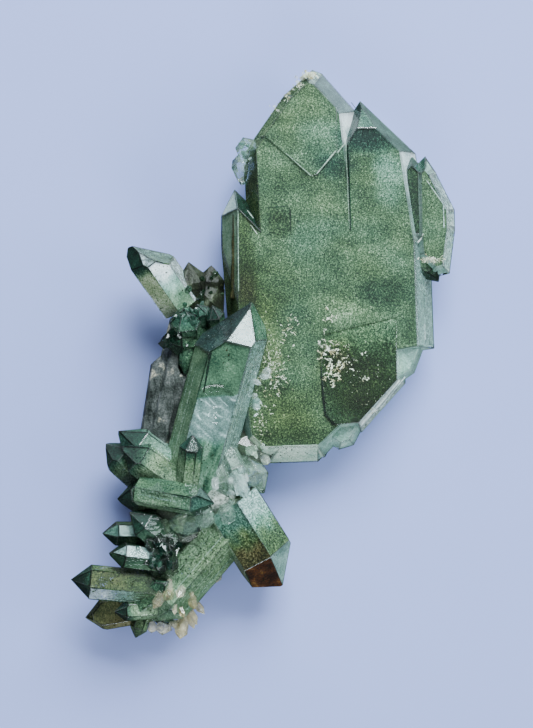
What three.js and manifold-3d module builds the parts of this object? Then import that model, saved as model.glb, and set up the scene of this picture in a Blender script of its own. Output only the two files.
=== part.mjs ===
import * as THREE from 'three';
import { ConvexGeometry } from 'three/addons/geometries/ConvexGeometry.js';
import { mergeVertices } from 'three/addons/utils/BufferGeometryUtils.js';
import Module from 'manifold-3d';

// A loose specimen of green quartz lying on its back: +Y is the growth direction of the
// wide plate, +Z is the side that is looked at, and it rests on layers of the plate's rear
// face at z = 0. All lengths are millimetres and all angles are degrees.

// Angles between quartz faces
const ROOF_TO_AXIS = 51.8;
const PRISM_STEP = 60;
const PRISM_TO_SIDE_ROOF = 66.9;

// Sizes that drive the specimen
const PLATE_FRONT = 9.5;
const REAR_FACE = 0.25;
const LAYER_STEP = 0.25;
const GROOVE_WIDTH = 0.3;

const CORNER_TOLERANCE = 1e-4;

const wasm = await Module();
wasm.setup();

const radians = THREE.MathUtils.degToRad;

// Small repeatable random numbers for the uneven growth of each crystal
function randomSource(seed) {
  let state = seed >>> 0;
  return () => {
    state = (state + 0x6d2b79f5) >>> 0;
    let t = state;
    t = Math.imul(t ^ (t >>> 15), t | 1);
    t ^= t + Math.imul(t ^ (t >>> 7), t | 61);
    return ((t ^ (t >>> 14)) >>> 0) / 4294967296;
  };
}

// A half-space: every point of the solid lies behind the plane
function facePlane(normal, point) {
  const unit = normal.clone().normalize();
  return new THREE.Plane(unit, -unit.dot(point));
}

// The corner where three face planes meet, or null where two of them are parallel
function meetingPoint(a, b, c) {
  const cross = new THREE.Vector3().crossVectors(b.normal, c.normal);
  const determinant = a.normal.dot(cross);
  if (Math.abs(determinant) < 1e-6) return null;
  const point = cross.multiplyScalar(-a.constant);
  point.addScaledVector(new THREE.Vector3().crossVectors(c.normal, a.normal), -b.constant);
  point.addScaledVector(new THREE.Vector3().crossVectors(a.normal, b.normal), -c.constant);
  return point.divideScalar(determinant);
}

// All corners of the convex body that a set of face planes closes in
function cornersOf(planes) {
  const corners = [];
  for (let i = 0; i < planes.length; i += 1) {
    for (let j = i + 1; j < planes.length; j += 1) {
      for (let k = j + 1; k < planes.length; k += 1) {
        const point = meetingPoint(planes[i], planes[j], planes[k]);
        if (!point) continue;
        const inside = planes.every((plane) => plane.distanceToPoint(point) < CORNER_TOLERANCE);
        const isNew = corners.every((corner) => corner.distanceTo(point) > 10 * CORNER_TOLERANCE);
        if (inside && isNew) corners.push(point);
      }
    }
  }
  return corners;
}

// A closed geometry with shared corners becomes a solid that can be joined and cut
function toSolid(geometry) {
  geometry.deleteAttribute('normal');
  geometry.deleteAttribute('uv');
  const merged = mergeVertices(geometry, CORNER_TOLERANCE);
  return new wasm.Manifold(new wasm.Mesh({
    numProp: 3,
    vertProperties: new Float32Array(merged.attributes.position.array),
    triVerts: new Uint32Array(merged.index.array),
  }));
}

function solidFromPlanes(planes) {
  return toSolid(new ConvexGeometry(cornersOf(planes)));
}

function joinAll(solids) {
  return solids.reduce((whole, solid) => whole.add(solid));
}

// One quartz prism with its six-sided roof. Its axis runs from base to tip, and the first of
// its six sides looks along "face". "width" is the size across opposite sides, "flat" thins it
// along "face", and "uneven" sets how far its sides and roof faces differ from a regular one.
// "sides" and "roof" can give the six distances instead, in millimetres.
function crystal({
  tip, base, width, face = [0, 0, 1], flat = 1, uneven = 0.15, seed = 1, sides, roof,
}) {
  const random = randomSource(seed);
  const top = new THREE.Vector3(...tip);
  const bottom = new THREE.Vector3(...base);
  const axis = top.clone().sub(bottom).normalize();
  const front = new THREE.Vector3(...face).projectOnPlane(axis).normalize();
  const right = new THREE.Vector3().crossVectors(axis, front);
  const planes = [facePlane(axis.clone().negate(), bottom)];
  for (let index = 0; index < 6; index += 1) {
    const turn = radians(index * PRISM_STEP);
    const outward = front.clone().multiplyScalar(Math.cos(turn)).addScaledVector(right, Math.sin(turn));
    const thinning = index % 3 === 0 ? flat : 1;
    const grown = (width / 2) * thinning * (1 + uneven * (random() - 0.5));
    const distance = sides ? sides[index] : grown;
    planes.push(facePlane(outward, bottom.clone().addScaledVector(outward, distance)));
    const lift = roof ? roof[index] : uneven * width * random() * 0.9;
    const roofNormal = outward.clone().multiplyScalar(Math.sin(radians(ROOF_TO_AXIS)));
    roofNormal.addScaledVector(axis, Math.cos(radians(ROOF_TO_AXIS)));
    planes.push(facePlane(roofNormal, top.clone().addScaledVector(axis, lift)));
  }
  return solidFromPlanes(planes);
}

// One tabular crystal of the plate. "outline" lists the corners of its front face clockwise as
// [x, y], the sides fall away from that edge at "bevel" on the front and on the back, "bevels"
// gives single edges another angle, and "lean" tilts the front face a little as [dz/dx, dz/dy]
// about the outline's first corner.
function tablet({
  outline, front = PLATE_FRONT, back = REAR_FACE, bevel = PRISM_TO_SIDE_ROOF, bevels = {}, lean = [0, 0],
}) {
  const [firstX, firstY] = outline[0];
  const planes = [
    facePlane(new THREE.Vector3(-lean[0], -lean[1], 1), new THREE.Vector3(firstX, firstY, front)),
    facePlane(new THREE.Vector3(0, 0, -1), new THREE.Vector3(firstX, firstY, back)),
  ];
  outline.forEach(([x, y], index) => {
    const [nextX, nextY] = outline[(index + 1) % outline.length];
    const outward = new THREE.Vector3(y - nextY, nextX - x, 0).normalize();
    const angle = radians(bevels[index] ?? bevel);
    const sloped = outward.clone().multiplyScalar(Math.sin(angle));
    const frontNormal = sloped.clone().setZ(Math.cos(angle));
    const backNormal = sloped.clone().setZ(-Math.cos(angle));
    planes.push(facePlane(frontNormal, new THREE.Vector3(x, y, front)));
    planes.push(facePlane(backNormal, new THREE.Vector3(x, y, back)));
  });
  return solidFromPlanes(planes);
}

// A broken lump of massive quartz: the hull of points scattered on a stretched ball
function lump({ at, size, seed, points = 16 }) {
  const random = randomSource(seed);
  const corners = [];
  for (let index = 0; index < points; index += 1) {
    const height = 1 - (2 * index + 1) / points;
    const ring = Math.sqrt(1 - height * height);
    const turn = index * 2.4 + 0.8 * (random() - 0.5);
    const reach = 0.86 + 0.14 * random();
    corners.push(new THREE.Vector3(
      at[0] + (size[0] / 2) * ring * Math.cos(turn) * reach,
      at[1] + (size[1] / 2) * ring * Math.sin(turn) * reach,
      at[2] + (size[2] / 2) * height * reach,
    ));
  }
  return toSolid(new ConvexGeometry(corners));
}

// The wide plate: tabular crystals grown side by side, each a little higher or lower
function leftSpire() {
  const body = tablet({
    outline: [
      [5.9, 40.5], [7.5, 39.9], [12.3, 34.5], [12.9, 22.6], [14.6, 8.0], [14.6, -4.0], [12.1, -10.2],
      [8.1, -14.1], [1.6, -14.3], [0.6, -4.3], [-0.6, 18.7], [-1.8, 31.4], [-1.9, 32.5], [4.1, 37.9],
    ],
    bevels: { 0: 60, 1: 61, 2: 60, 3: 60, 7: 60, 10: 60, 12: 72, 13: 72 },
  });
  const raisedEnd = tablet({
    outline: [
      [5.9, 40.4], [7.5, 39.9], [10.0, 37.2], [10.8, 36.4], [10.9, 29.9], [7.9, 26.4], [7.0, 26.1],
      [-1.2, 33.2], [4.1, 37.9],
    ],
    front: PLATE_FRONT + LAYER_STEP,
    back: PLATE_FRONT - 4,
  });
  return body.add(raisedEnd);
}

function rightSpire() {
  const body = tablet({
    outline: [
      [13.9, 33.4], [16.7, 33.4], [20.4, 29.9], [22.4, 17.1], [23.0, 0.8], [19.8, 0.3], [13.3, -0.1],
      [12.9, 18.0], [12.5, 31.2],
    ],
    bevels: { 0: 38.2, 2: 60, 3: 58, 4: 80, 5: 70 },
  });
  const lowerLobe = tablet({
    outline: [
      [9.8, 7.7], [13.1, 9.2], [19.7, 7.7], [19.9, -4.2], [14.1, -10.7], [10.8, -11.0], [9.2, -9.6],
      [8.5, -2.3],
    ],
    front: PLATE_FRONT - 0.08,
    back: REAR_FACE + 0.3,
    bevel: 70,
    lean: [0, -0.016],
  });
  const ledge = tablet({
    outline: [[22.2, 20.4], [24.3, 15.6], [24.2, 11.4], [23.8, 10.8], [24.2, 1.6], [23.4, 0.2], [20.4, 0.6]],
    front: PLATE_FRONT - 2.2,
    back: REAR_FACE + 2.6,
    bevel: 74,
  });
  const notch = tablet({
    outline: [[19.6, 0.4], [23.2, 0.6], [22.0, -2.6], [19.6, -4.2]],
    front: PLATE_FRONT - 0.6,
    back: REAR_FACE + 1.6,
    bevel: 74,
    lean: [-0.25, 0.1],
  });
  const lowerCorner = tablet({
    outline: [[10.8, -11.1], [14.0, -10.8], [12.8, -13.2], [11.5, -13.6], [10.2, -12.8]],
    front: PLATE_FRONT - 1.2,
    back: REAR_FACE + 2.5,
  });
  return joinAll([body, ledge, lowerLobe, notch, lowerCorner]);
}

function rimCrystals() {
  const sliver = tablet({
    outline: [[21.4, 27.2], [22.1, 27.9], [23.1, 26.9], [23.4, 17.6], [22.1, 17.6], [21.2, 19.4]],
    front: PLATE_FRONT - 0.6,
    back: REAR_FACE + 2,
  });
  const outer = tablet({
    outline: [
      [23.4, 26.7], [24.2, 27.5], [24.7, 26.5], [27.4, 22.5], [27.5, 18.4], [26.8, 12.8], [25.7, 12.5],
      [23.8, 14.7], [23.5, 17.7],
    ],
    front: PLATE_FRONT - 0.4,
    back: REAR_FACE + 4.2,
    bevel: 60,
  });
  const foot = crystal({
    tip: [26.2, 10.6, 6.5], base: [23.5, 14.5, 6.0], width: 3.4, seed: 31,
  });
  return joinAll([sliver, outer, foot]);
}

function leftShoulder() {
  const body = tablet({
    outline: [
      [-3.4, 22.6], [-0.3, 17.8], [9.8, 7.7], [9.8, -11.0], [8.1, -14.2], [0.1, -14.4], [-1.9, -12.6],
      [-2.5, -8.0], [-3.9, 7.7], [-4.0, 21.4],
    ],
    back: REAR_FACE + 0.3,
    bevels: { 5: 60, 8: 60 },
  });
  return body;
}

// Rough growth behind the left spire's edge and the broken tip above it
function roughEnds() {
  return joinAll([
    lump({ at: [-3.0, 27.8, 4.6], size: [4.6, 5.2, 5.0], seed: 3 }),
    lump({ at: [-2.2, 30.6, 4.8], size: [4.6, 4.4, 5.4], seed: 4 }),
    lump({ at: [7.0, 41.5, 4.8], size: [3.6, 2.2, 5.2], seed: 5 }),
  ]);
}

// The steep prism in front of the plate
function frontPrism() {
  return crystal({
    tip: [-2.1, 6.3, 12.9], base: [-9.6, -20.9, 6.9], face: [0.08, 0, 1],
    width: 9, sides: [3.8, 3.2, 3.4, 3.8, 5.6, 5.6], roof: [0, 0.2, 2, 2.4, 1.5, 0],
  });
}

// Crystals and lumps between the prism and the plate's left edge
function upperLeftCluster() {
  return joinAll([
    crystal({
      tip: [-20.1, 15.2, 10.0], base: [-13.6, 5.8, 6.8], face: [0.14, 0.1, 1],
      sides: [3.0, 4.3, 4.3, 2.6, 1.4, 1.3], roof: [0.5, 0.6, 1.2, 1.8, 0.8, -1.1],
    }),
    crystal({ tip: [-11.8, 6.2, 12.5], base: [-11.1, 2.0, 7.0], width: 4.2, seed: 6 }),
    crystal({ tip: [-15.3, 1.6, 10], base: [-9.2, 2.0, 7.6], width: 4.4, seed: 7 }),
    crystal({ tip: [-10.0, 6.9, 11.4], base: [-8.0, 3.0, 7.0], width: 2.6, seed: 8 }),
    crystal({ tip: [-7.6, 6.6, 11.2], base: [-7.0, 2.0, 7.0], width: 2.8, seed: 9 }),
    crystal({ tip: [-9.6, 1.4, 11.6], base: [-7.0, -1.5, 8.0], width: 3.0, seed: 10 }),
    crystal({ tip: [-11.3, 13.2, 7.4], base: [-9.7, 5.1, 5.0], width: 4.6, seed: 11 }),
    crystal({ tip: [-7.8, 12.9, 6.4], base: [-8.5, 5.1, 5.0], width: 3.6, seed: 12 }),
    lump({ at: [-9.2, 7.5, 5.6], size: [7.5, 10, 7], seed: 13 }),
  ]);
}

// The long grey fragment beside the prism
function trunk() {
  return joinAll([
    crystal({ tip: [-11.4, 6.6, 6.6], base: [-16.6, -14.4, 6.2], width: 4.2, face: [0.2, 0, 1], seed: 21 }),
    crystal({ tip: [-15.3, -0.4, 6.6], base: [-17.2, -12.6, 6.4], width: 3.0, face: [-0.3, 0, 1], seed: 22 }),
    lump({ at: [-12.2, -8.0, 5.2], size: [7, 22, 9], seed: 23 }),
  ]);
}

// The spray of small crystals on the stalk's left side
function leftSpray() {
  return joinAll([
    crystal({ tip: [-21.6, -12.1, 8.6], base: [-12.5, -18.9, 7.0], width: 5.4, face: [0.2, 0.4, 1], seed: 41 }),
    crystal({ tip: [-20.8, -14.3, 11.2], base: [-13.2, -19.6, 9.0], width: 4.8, face: [0.2, 0.3, 1], seed: 42 }),
    crystal({ tip: [-23.8, -13.9, 6.4], base: [-16.4, -20.7, 6.0], width: 4.6, face: [0, 0.3, 1], seed: 43 }),
    crystal({ tip: [-10.5, -12.4, 13.2], base: [-11.6, -21.8, 11.0], width: 3.1, face: [0.1, 0, 1], seed: 44 }),
    crystal({ tip: [-7.6, -22.3, 14.2], base: [-18.6, -20.6, 10.9], width: 4.2, face: [0, 1.2, 1], seed: 45 }),
    crystal({ tip: [-21.8, -22.2, 8.6], base: [-14.3, -21.3, 8.0], width: 4.4, face: [0, 0.2, 1], seed: 46 }),
    crystal({ tip: [-24.0, -27.2, 9.2], base: [-16.3, -27.5, 7.8], width: 3.4, face: [0, 0.4, 1], seed: 47 }),
    crystal({ tip: [-22.9, -29.9, 11.0], base: [-15.5, -31.0, 9.0], width: 3.6, face: [0, 0.5, 1], seed: 48 }),
    crystal({ tip: [-19.8, -23.8, 11.4], base: [-14.0, -28.7, 8.6], width: 4.4, face: [0.1, 0.5, 1], seed: 49 }),
  ]);
}

// The dark knot of very small crystals on the lower stalk
function darkKnot() {
  const knot = [
    [-17.0, -28.0, 12.2, 2.2], [-15.6, -27.4, 12.8, 1.9], [-14.1, -28.3, 12.6, 2.1], [-16.2, -30.1, 12.9, 2.2],
    [-14.2, -30.4, 12.9, 2.4], [-17.6, -31.4, 11.6, 1.8], [-15.6, -32.3, 12.0, 2.0], [-13.4, -32.0, 11.4, 1.8],
  ];
  const root = [-14.6, -30.4, 6];
  return joinAll(knot.map(([x, y, z, width], index) => crystal({
    tip: [x, y, z], base: root, width, seed: 60 + index, uneven: 0.3,
  })));
}

// The lower end of the stalk: main stem, crystals that point left, down and right, broken chips
function lowerStalk() {
  return joinAll([
    crystal({ tip: [-17.6, -40.6, 5.6], base: [-2.4, -23.0, 6.8], width: 7.2, face: [-0.2, 0.2, 1], seed: 71 }),
    crystal({ tip: [-28.7, -34.0, 9.4], base: [-14.7, -35.6, 7.6], width: 4.6, face: [0, 0.35, 1], seed: 72 }),
    crystal({ tip: [-27.0, -40.2, 5.2], base: [-17.0, -38.5, 5.0], width: 4.4, flat: 0.6, seed: 73 }),
    crystal({ tip: [-22.2, -38.8, 9.0], base: [-16.2, -38.6, 7.0], width: 2.8, seed: 74 }),
    crystal({ tip: [-19.4, -43.2, 6.4], base: [-17.2, -36.4, 6.0], width: 2.4, seed: 75 }),
    crystal({ tip: [-14.2, -34.2, 10.2], base: [-19.6, -38.4, 8.4], width: 2.6, flat: 0.5, seed: 76 }),
    crystal({
      tip: [2.7, -35.0, 6.0], base: [-5.2, -22.3, 7.8], face: [-0.27, -0.17, 0.95],
      width: 8.4, uneven: 0.05, roof: [0, 3.5, 1.5, 1.0, 0.5, 0], seed: 77,
    }),
    lump({ at: [-14.6, -37.4, 4.2], size: [9.6, 10.4, 8], seed: 78 }),
    lump({ at: [-8.6, -32.4, 4.4], size: [7, 7.4, 7], seed: 79 }),
  ]);
}

// Broken clear chips along the stalk's lower edge
function brokenChips() {
  const chips = [
    [-11.4, -38.0, 4.6, 3.0], [-12.0, -40.0, 4.0, 3.2], [-13.4, -41.2, 4.8, 3.0], [-15.4, -41.8, 4.2, 3.2],
    [-17.2, -41.8, 4.4, 2.6], [-11.2, -36.2, 6.0, 2.8], [-6.6, -32.0, 4.8, 2.8], [-7.6, -34.0, 4.2, 2.8],
    [-9.6, -34.8, 4.0, 2.6],
  ];
  return joinAll(chips.map(([x, y, z, size], index) => lump({
    at: [x, y, z], size: [size, size * 0.9, size * 1.3], points: 10, seed: 120 + index,
  })));
}

// Crystals of the hidden side, which point left, down and back
function backSpray() {
  return joinAll([
    crystal({ tip: [-19.6, -14.4, 2.4], base: [-12.4, -16.8, 5.0], width: 4.0, face: [0, 0.2, -1], seed: 101 }),
    crystal({ tip: [-20.8, -29.2, 3.2], base: [-13.4, -28.4, 5.4], width: 4.2, face: [0, 0.3, -1], seed: 102 }),
    crystal({ tip: [-24.2, -36.2, 3.0], base: [-15.4, -35.2, 5.0], width: 3.8, face: [0, 0.2, -1], seed: 103 }),
    crystal({ tip: [-17.8, -22.0, 2.6], base: [-11.0, -23.4, 5.4], width: 3.8, face: [0, 0.2, -1], seed: 104 }),
    crystal({ tip: [-6.0, -31.0, 2.6], base: [-8.0, -21.4, 5.0], width: 4.4, face: [0.2, 0, -1], seed: 105 }),
    crystal({ tip: [-9.4, 3.0, 2.6], base: [-10.8, -12.0, 4.6], width: 4.6, face: [-0.2, 0, -1], seed: 106 }),
    crystal({ tip: [-14.6, -0.6, 2.8], base: [-10.8, -6.0, 4.8], width: 3.2, face: [-0.2, 0, -1], seed: 107 }),
  ]);
}

// Low growth layers on the plate's rear face. The specimen rests on the first two.
function rearLayers() {
  return joinAll([
    tablet({
      outline: [[3.4, 33.6], [10.2, 27.0], [10.6, 4.0], [7.0, -9.6], [2.4, -12.2], [0.8, 2.0], [0.4, 27.0]],
      front: 4,
      back: 0,
    }),
    tablet({
      outline: [[14.0, 28.0], [19.2, 25.6], [20.6, 9.0], [14.2, 2.4], [12.6, 9.0]],
      front: 4,
      back: 0,
    }),
    tablet({ outline: [[10.6, 2.4], [17.4, -0.4], [14.4, -8.4], [10.8, -8.8]], front: 4, back: 0.2 }),
  ]);
}

// Small clear crystals where stem, prism and plate meet, and the junction itself
function junction() {
  return joinAll([
    crystal({ tip: [-3.1, -19.9, 12.4], base: [-6.6, -13.5, 7.4], width: 3.6, face: [0.3, 0, 1], seed: 81 }),
    crystal({ tip: [-5.2, -21.4, 12.6], base: [-6.8, -15.4, 8.4], width: 3.0, face: [-0.2, 0, 1], seed: 82 }),
    crystal({ tip: [-0.2, -21.2, 7.6], base: [-3.6, -15.9, 6.0], width: 4.2, seed: 83 }),
    lump({ at: [-2.6, -14.6, 5.4], size: [8.4, 9, 8], seed: 84 }),
    lump({ at: [-6.5, -20.5, 7.0], size: [9, 10, 10], seed: 85 }),
    lump({ at: [-12.5, -24.5, 7.0], size: [12, 12, 10.4], seed: 86 }),
    lump({ at: [-15.0, -31.5, 6.4], size: [10, 10, 10], seed: 87 }),
  ]);
}

// The small square hollow and the narrow groove in the plate's front face
function frontMarks() {
  const hollow = new THREE.BoxGeometry(3.3, 4.5, 2 * LAYER_STEP);
  hollow.rotateZ(radians(4));
  hollow.translate(2.3, 19.4, PLATE_FRONT);
  const groove = new THREE.BoxGeometry(GROOVE_WIDTH, 13, 1.2);
  groove.rotateZ(radians(4));
  groove.translate(12.8, 24.6, PLATE_FRONT);
  return toSolid(hollow).add(toSolid(groove));
}

function quartzCluster() {
  const whole = joinAll([
    leftSpire(), rightSpire(), rimCrystals(), leftShoulder(), roughEnds(), frontPrism(),
    upperLeftCluster(), trunk(), leftSpray(), darkKnot(), lowerStalk(), brokenChips(), junction(),
    backSpray(), rearLayers(),
  ]);
  return whole.subtract(frontMarks());
}

// Turns the finished solid into a mesh that stands on z = 0 with its middle at x = y = 0
function toMesh(solid, name, material) {
  const { vertProperties, triVerts } = solid.getMesh();
  const geometry = new THREE.BufferGeometry();
  geometry.setAttribute('position', new THREE.BufferAttribute(vertProperties, 3));
  geometry.setIndex(new THREE.BufferAttribute(triVerts, 1));
  geometry.computeBoundingBox();
  const { min, max } = geometry.boundingBox;
  geometry.computeVertexNormals();
  const mesh = new THREE.Mesh(geometry, material);
  mesh.name = name;
  mesh.position.set(-(min.x + max.x) / 2, -(min.y + max.y) / 2, -min.z);
  return mesh;
}

const greenQuartz = new THREE.MeshStandardMaterial({ color: '#7f9a84', roughness: 0.15, metalness: 0 });

const specimen = new THREE.Group();
specimen.add(toMesh(quartzCluster(), 'quartz_cluster', greenQuartz));

export default specimen;
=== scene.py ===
"""Looks of a loose green quartz specimen that lies on its back on a pale floor.

Lengths in the tables are millimetres in the drawing frame of the solid model: +Y is the growth
direction of the wide plate and +Z is the side that is looked at. They become metres, in the
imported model's frame, when a mesh is made.
"""

import logging
import math
from collections.abc import Sequence
from dataclasses import dataclass, field
from enum import Enum
from functools import cache, partial
from itertools import combinations, product

import bmesh
import bpy
import numpy as np
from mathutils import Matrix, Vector
from mathutils.bvhtree import BVHTree


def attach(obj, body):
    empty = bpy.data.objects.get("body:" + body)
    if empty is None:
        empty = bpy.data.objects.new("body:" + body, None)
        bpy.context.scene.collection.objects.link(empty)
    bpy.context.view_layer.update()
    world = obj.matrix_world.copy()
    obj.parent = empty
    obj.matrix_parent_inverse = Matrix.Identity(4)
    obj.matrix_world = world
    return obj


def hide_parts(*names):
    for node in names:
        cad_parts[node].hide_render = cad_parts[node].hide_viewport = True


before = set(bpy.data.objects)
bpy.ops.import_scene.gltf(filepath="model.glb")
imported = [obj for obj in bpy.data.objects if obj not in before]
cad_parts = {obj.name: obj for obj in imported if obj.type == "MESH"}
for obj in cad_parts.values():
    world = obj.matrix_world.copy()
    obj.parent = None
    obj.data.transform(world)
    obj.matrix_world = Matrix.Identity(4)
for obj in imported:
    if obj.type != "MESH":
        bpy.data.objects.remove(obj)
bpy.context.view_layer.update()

Array = np.ndarray
Vec = tuple[float, float, float]
Pair = tuple[float, float]
Faces = list[tuple[int, ...]]
Values = dict[str, Array]
Inputs = dict[str | int, object]
Thing = bpy.types.Object
Material = bpy.types.Material
Tree = bpy.types.NodeTree
Node = bpy.types.Node
Socket = bpy.types.NodeSocket

log = logging.getLogger("green_quartz")

MM = 0.001
DRAWING_TO_PART = np.array([0.004, 0.204, 0.0])
UPWARDS = np.array([0.0, 0.0, 1.0])
PLATE_GROWTH = np.array([0.0, 1.0, 0.0])

# The height that grains fall from, and how far up the normal has to point where one stays
HIGH_ABOVE = 60.0
LEAST_UPWARD = 0.1

# A direction that no edge of the specimen has
ODD_WAY = np.array([0.31, 0.87, 0.2])

# Angles between quartz faces, in degrees
ROOF_TO_AXIS = 51.8
PRISM_STEP = 60.0
PRISM_TO_SIDE_ROOF = 66.9

# Heights on the plate
PLATE_FRONT = 9.5
REAR_FACE = 0.25
LAYER_STEP = 0.25

# A dust layer's thickness, and the least room that it needs round its middle
LAYER_THICKNESS = 0.04
SMALLEST_ROOM = 0.03

# How thick the layer under a tablet's front is in its middle, and how uneven
SHEET_THICKNESS = 0.9
SHEET_RELIEF = 0.05

# How deep growth lines and the lines along edges lie, and how wide a growth line is
GROWTH_LINE_DEPTH = 0.1
EDGE_LINE_DEPTH = 0.07
GROWTH_LINE_WIDTH = 0.035

# How far a corner may lie outside a plane, and how near to one it counts as on it
CORNER_TOLERANCE = 1e-4
ON_PLANE = 10 * CORNER_TOLERANCE
NEARLY_NOTHING = 1e-6

# Faces that differ by less are one, and a face whose normal fits so well lies on its plane
FLAT_ANGLE = math.radians(0.4)
SAME_WAY = 0.9996


def placed(points: Array) -> Array:
    """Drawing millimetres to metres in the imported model's frame."""
    return (points + DRAWING_TO_PART) * MM


def unit(vectors: Array) -> Array:
    """Vectors scaled to a length of one."""
    return vectors / np.linalg.norm(vectors, axis=-1, keepdims=True)


def smoothstep(low: float, high: float, values: Array) -> Array:
    """0 below low, 1 above high, and 3t^2 - 2t^3 between them."""
    share = np.clip((values - low) / (high - low), 0.0, 1.0)
    return share * share * (3.0 - 2.0 * share)


def drift(points: Array, wavelength: float, seed: int) -> Array:
    """Smooth repeatable unevenness of about -1 to 1.

    The sum of nine sine waves that run in scattered directions.

    Args:
        points: places in millimetres, with x, y and z on the last axis.
        wavelength: the mean length of a wave in millimetres.
        seed: which set of waves.

    Returns:
        One value per place.
    """
    random = np.random.default_rng(seed)
    directions = unit(random.normal(size=(9, 3)))
    lengths = wavelength * random.uniform(0.6, 1.6, 9)
    phases = random.uniform(0.0, 2.0 * math.pi, 9)
    waves = points @ (directions / lengths[:, None]).T * 2.0 * math.pi + phases
    return np.sin(waves).sum(-1) / 4.5


class GrowthLottery:
    """Small repeatable random numbers, the same row as in the solid model."""

    MASK = 0xFFFFFFFF

    def __init__(self, seed: int) -> None:
        """Starts the row at a seed."""
        self.state = seed & self.MASK

    def draw(self) -> float:
        """The next number, from 0 up to 1."""
        self.state = (self.state + 0x6D2B79F5) & self.MASK
        bits = self.state
        bits = ((bits ^ (bits >> 15)) * (bits | 1)) & self.MASK
        bits ^= (bits + (((bits ^ (bits >> 7)) * (bits | 61)) & self.MASK)) & self.MASK
        return ((bits ^ (bits >> 14)) & self.MASK) / (self.MASK + 1)


def linear(red: float, green: float, blue: float) -> tuple[float, float, float, float]:
    """A display colour as the linear colour that a shader takes.

    Args:
        red: its red, of 255.
        green: its green.
        blue: its blue.

    Returns:
        Red, green, blue and 1.
    """
    channels = np.array([red, green, blue]) / 255.0
    bent = np.where(channels <= 0.04045, channels / 12.92, ((channels + 0.055) / 1.055) ** 2.4)
    return (*bent.tolist(), 1.0)


def fill(node: Node, inputs: Inputs) -> None:
    """Fills inputs of a node.

    Args:
        node: the node.
        inputs: a socket to link or a value to set for each input, by name or number.
    """
    for name, value in inputs.items():
        if isinstance(value, Socket):
            node.id_data.links.new(value, node.inputs[name])
        else:
            node.inputs[name].default_value = value


def add_node(tree: Tree, kind: str, inputs: Inputs | None = None, **settings: object) -> Node:
    """Adds a shader node, sets it up and links or fills its inputs.

    Args:
        tree: where it goes.
        kind: Blender's name for the node, less the words ShaderNode.
        inputs: a socket to link or a value to set for each input.
        settings: properties of the node itself.

    Returns:
        The node.
    """
    node = tree.nodes.new(f"ShaderNode{kind}")
    for name, value in settings.items():
        setattr(node, name, value)
    fill(node, inputs or {})
    return node


def math_node(tree: Tree, operation: str, *values: object, clamp: bool = False) -> Socket:
    """The result of a Math node on one to three values or sockets."""
    inputs = dict(enumerate(values))
    return add_node(tree, "Math", inputs, operation=operation, use_clamp=clamp).outputs[0]


def mixed(tree: Tree, share: Socket, first: object, second: object) -> Socket:
    """A colour between two colours."""
    return add_node(tree, "Mix", {0: share, 6: first, 7: second}, data_type="RGBA").outputs[2]


def noise(tree: Tree, place: Socket, scale: float, detail: float) -> Socket:
    """Smooth noise with so many waves a metre."""
    inputs = {"Vector": place, "Scale": scale, "Detail": detail}
    return add_node(tree, "TexNoise", inputs).outputs[0]


def ranged(
    tree: Tree, value: Socket, low: float, high: float, start: float = 0.0, end: float = 1.0
) -> Socket:
    """A value that goes evenly from start to end while another goes from low to high."""
    limits = {"From Min": low, "From Max": high, "To Min": start, "To Max": end}
    return add_node(tree, "MapRange", {"Value": value, **limits}).outputs[0]


def bumped(tree: Tree, height: Socket, distance: float, strength: float = 0.6) -> Socket:
    """Normals bent by a height."""
    inputs = {"Height": height, "Distance": distance, "Strength": strength}
    return add_node(tree, "Bump", inputs).outputs[0]


def layered(tree: Tree, height: Socket, finer: Socket, share: float) -> Socket:
    """A height plus a share of a finer one."""
    return math_node(tree, "MULTIPLY_ADD", height, 1.0, math_node(tree, "MULTIPLY", finer, share))


def object_place(tree: Tree) -> Socket:
    """Where on the specimen a point lies, in metres."""
    return add_node(tree, "TexCoord").outputs["Object"]


def ramp(tree: Tree, share: Socket, stops: dict[float, Vec]) -> Socket:
    """A colour read from stops along a value.

    Args:
        tree: where the node goes.
        share: the value.
        stops: the display colour at each position.

    Returns:
        The colour.
    """
    node = add_node(tree, "ValToRGB", {0: share})
    elements = node.color_ramp.elements
    while len(elements) < len(stops):
        elements.new(0.5)
    for element, (position, colour) in zip(elements, sorted(stops.items())):
        element.position = position
        element.color = linear(*colour)
    return node.outputs[0]


def new_group(
    name: str, inputs: dict[str, float], outputs: dict[str, str]
) -> tuple[Tree, Node, Node]:
    """A shader node group with its named inputs and outputs.

    Args:
        name: the group's name.
        inputs: each input's name and its value when nothing is linked.
        outputs: each output's name and whether it is a Float or a Color.

    Returns:
        The group, its input node and its output node.
    """
    group = bpy.data.node_groups.new(name, "ShaderNodeTree")
    new_socket = group.interface.new_socket
    for socket, value in inputs.items():
        new_socket(name=socket, in_out="INPUT", socket_type="NodeSocketFloat").default_value = value
    for socket, kind in outputs.items():
        new_socket(name=socket, in_out="OUTPUT", socket_type=f"NodeSocket{kind}")
    return group, group.nodes.new("NodeGroupInput"), group.nodes.new("NodeGroupOutput")


# Shades from dark to pale, in even steps
TEAL = ((4, 18, 14), (22, 60, 48), (76, 116, 98), (140, 176, 164), (216, 230, 226))
OLIVE = ((8, 18, 6), (36, 60, 30), (92, 114, 70), (156, 172, 130), (226, 228, 206))
GREY = ((8, 12, 14), (44, 54, 60), (96, 108, 116), (152, 166, 176), (226, 232, 238))
BROWN = ((16, 8, 3), (58, 36, 16), (112, 88, 56), (172, 154, 124), (228, 220, 200))


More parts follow.
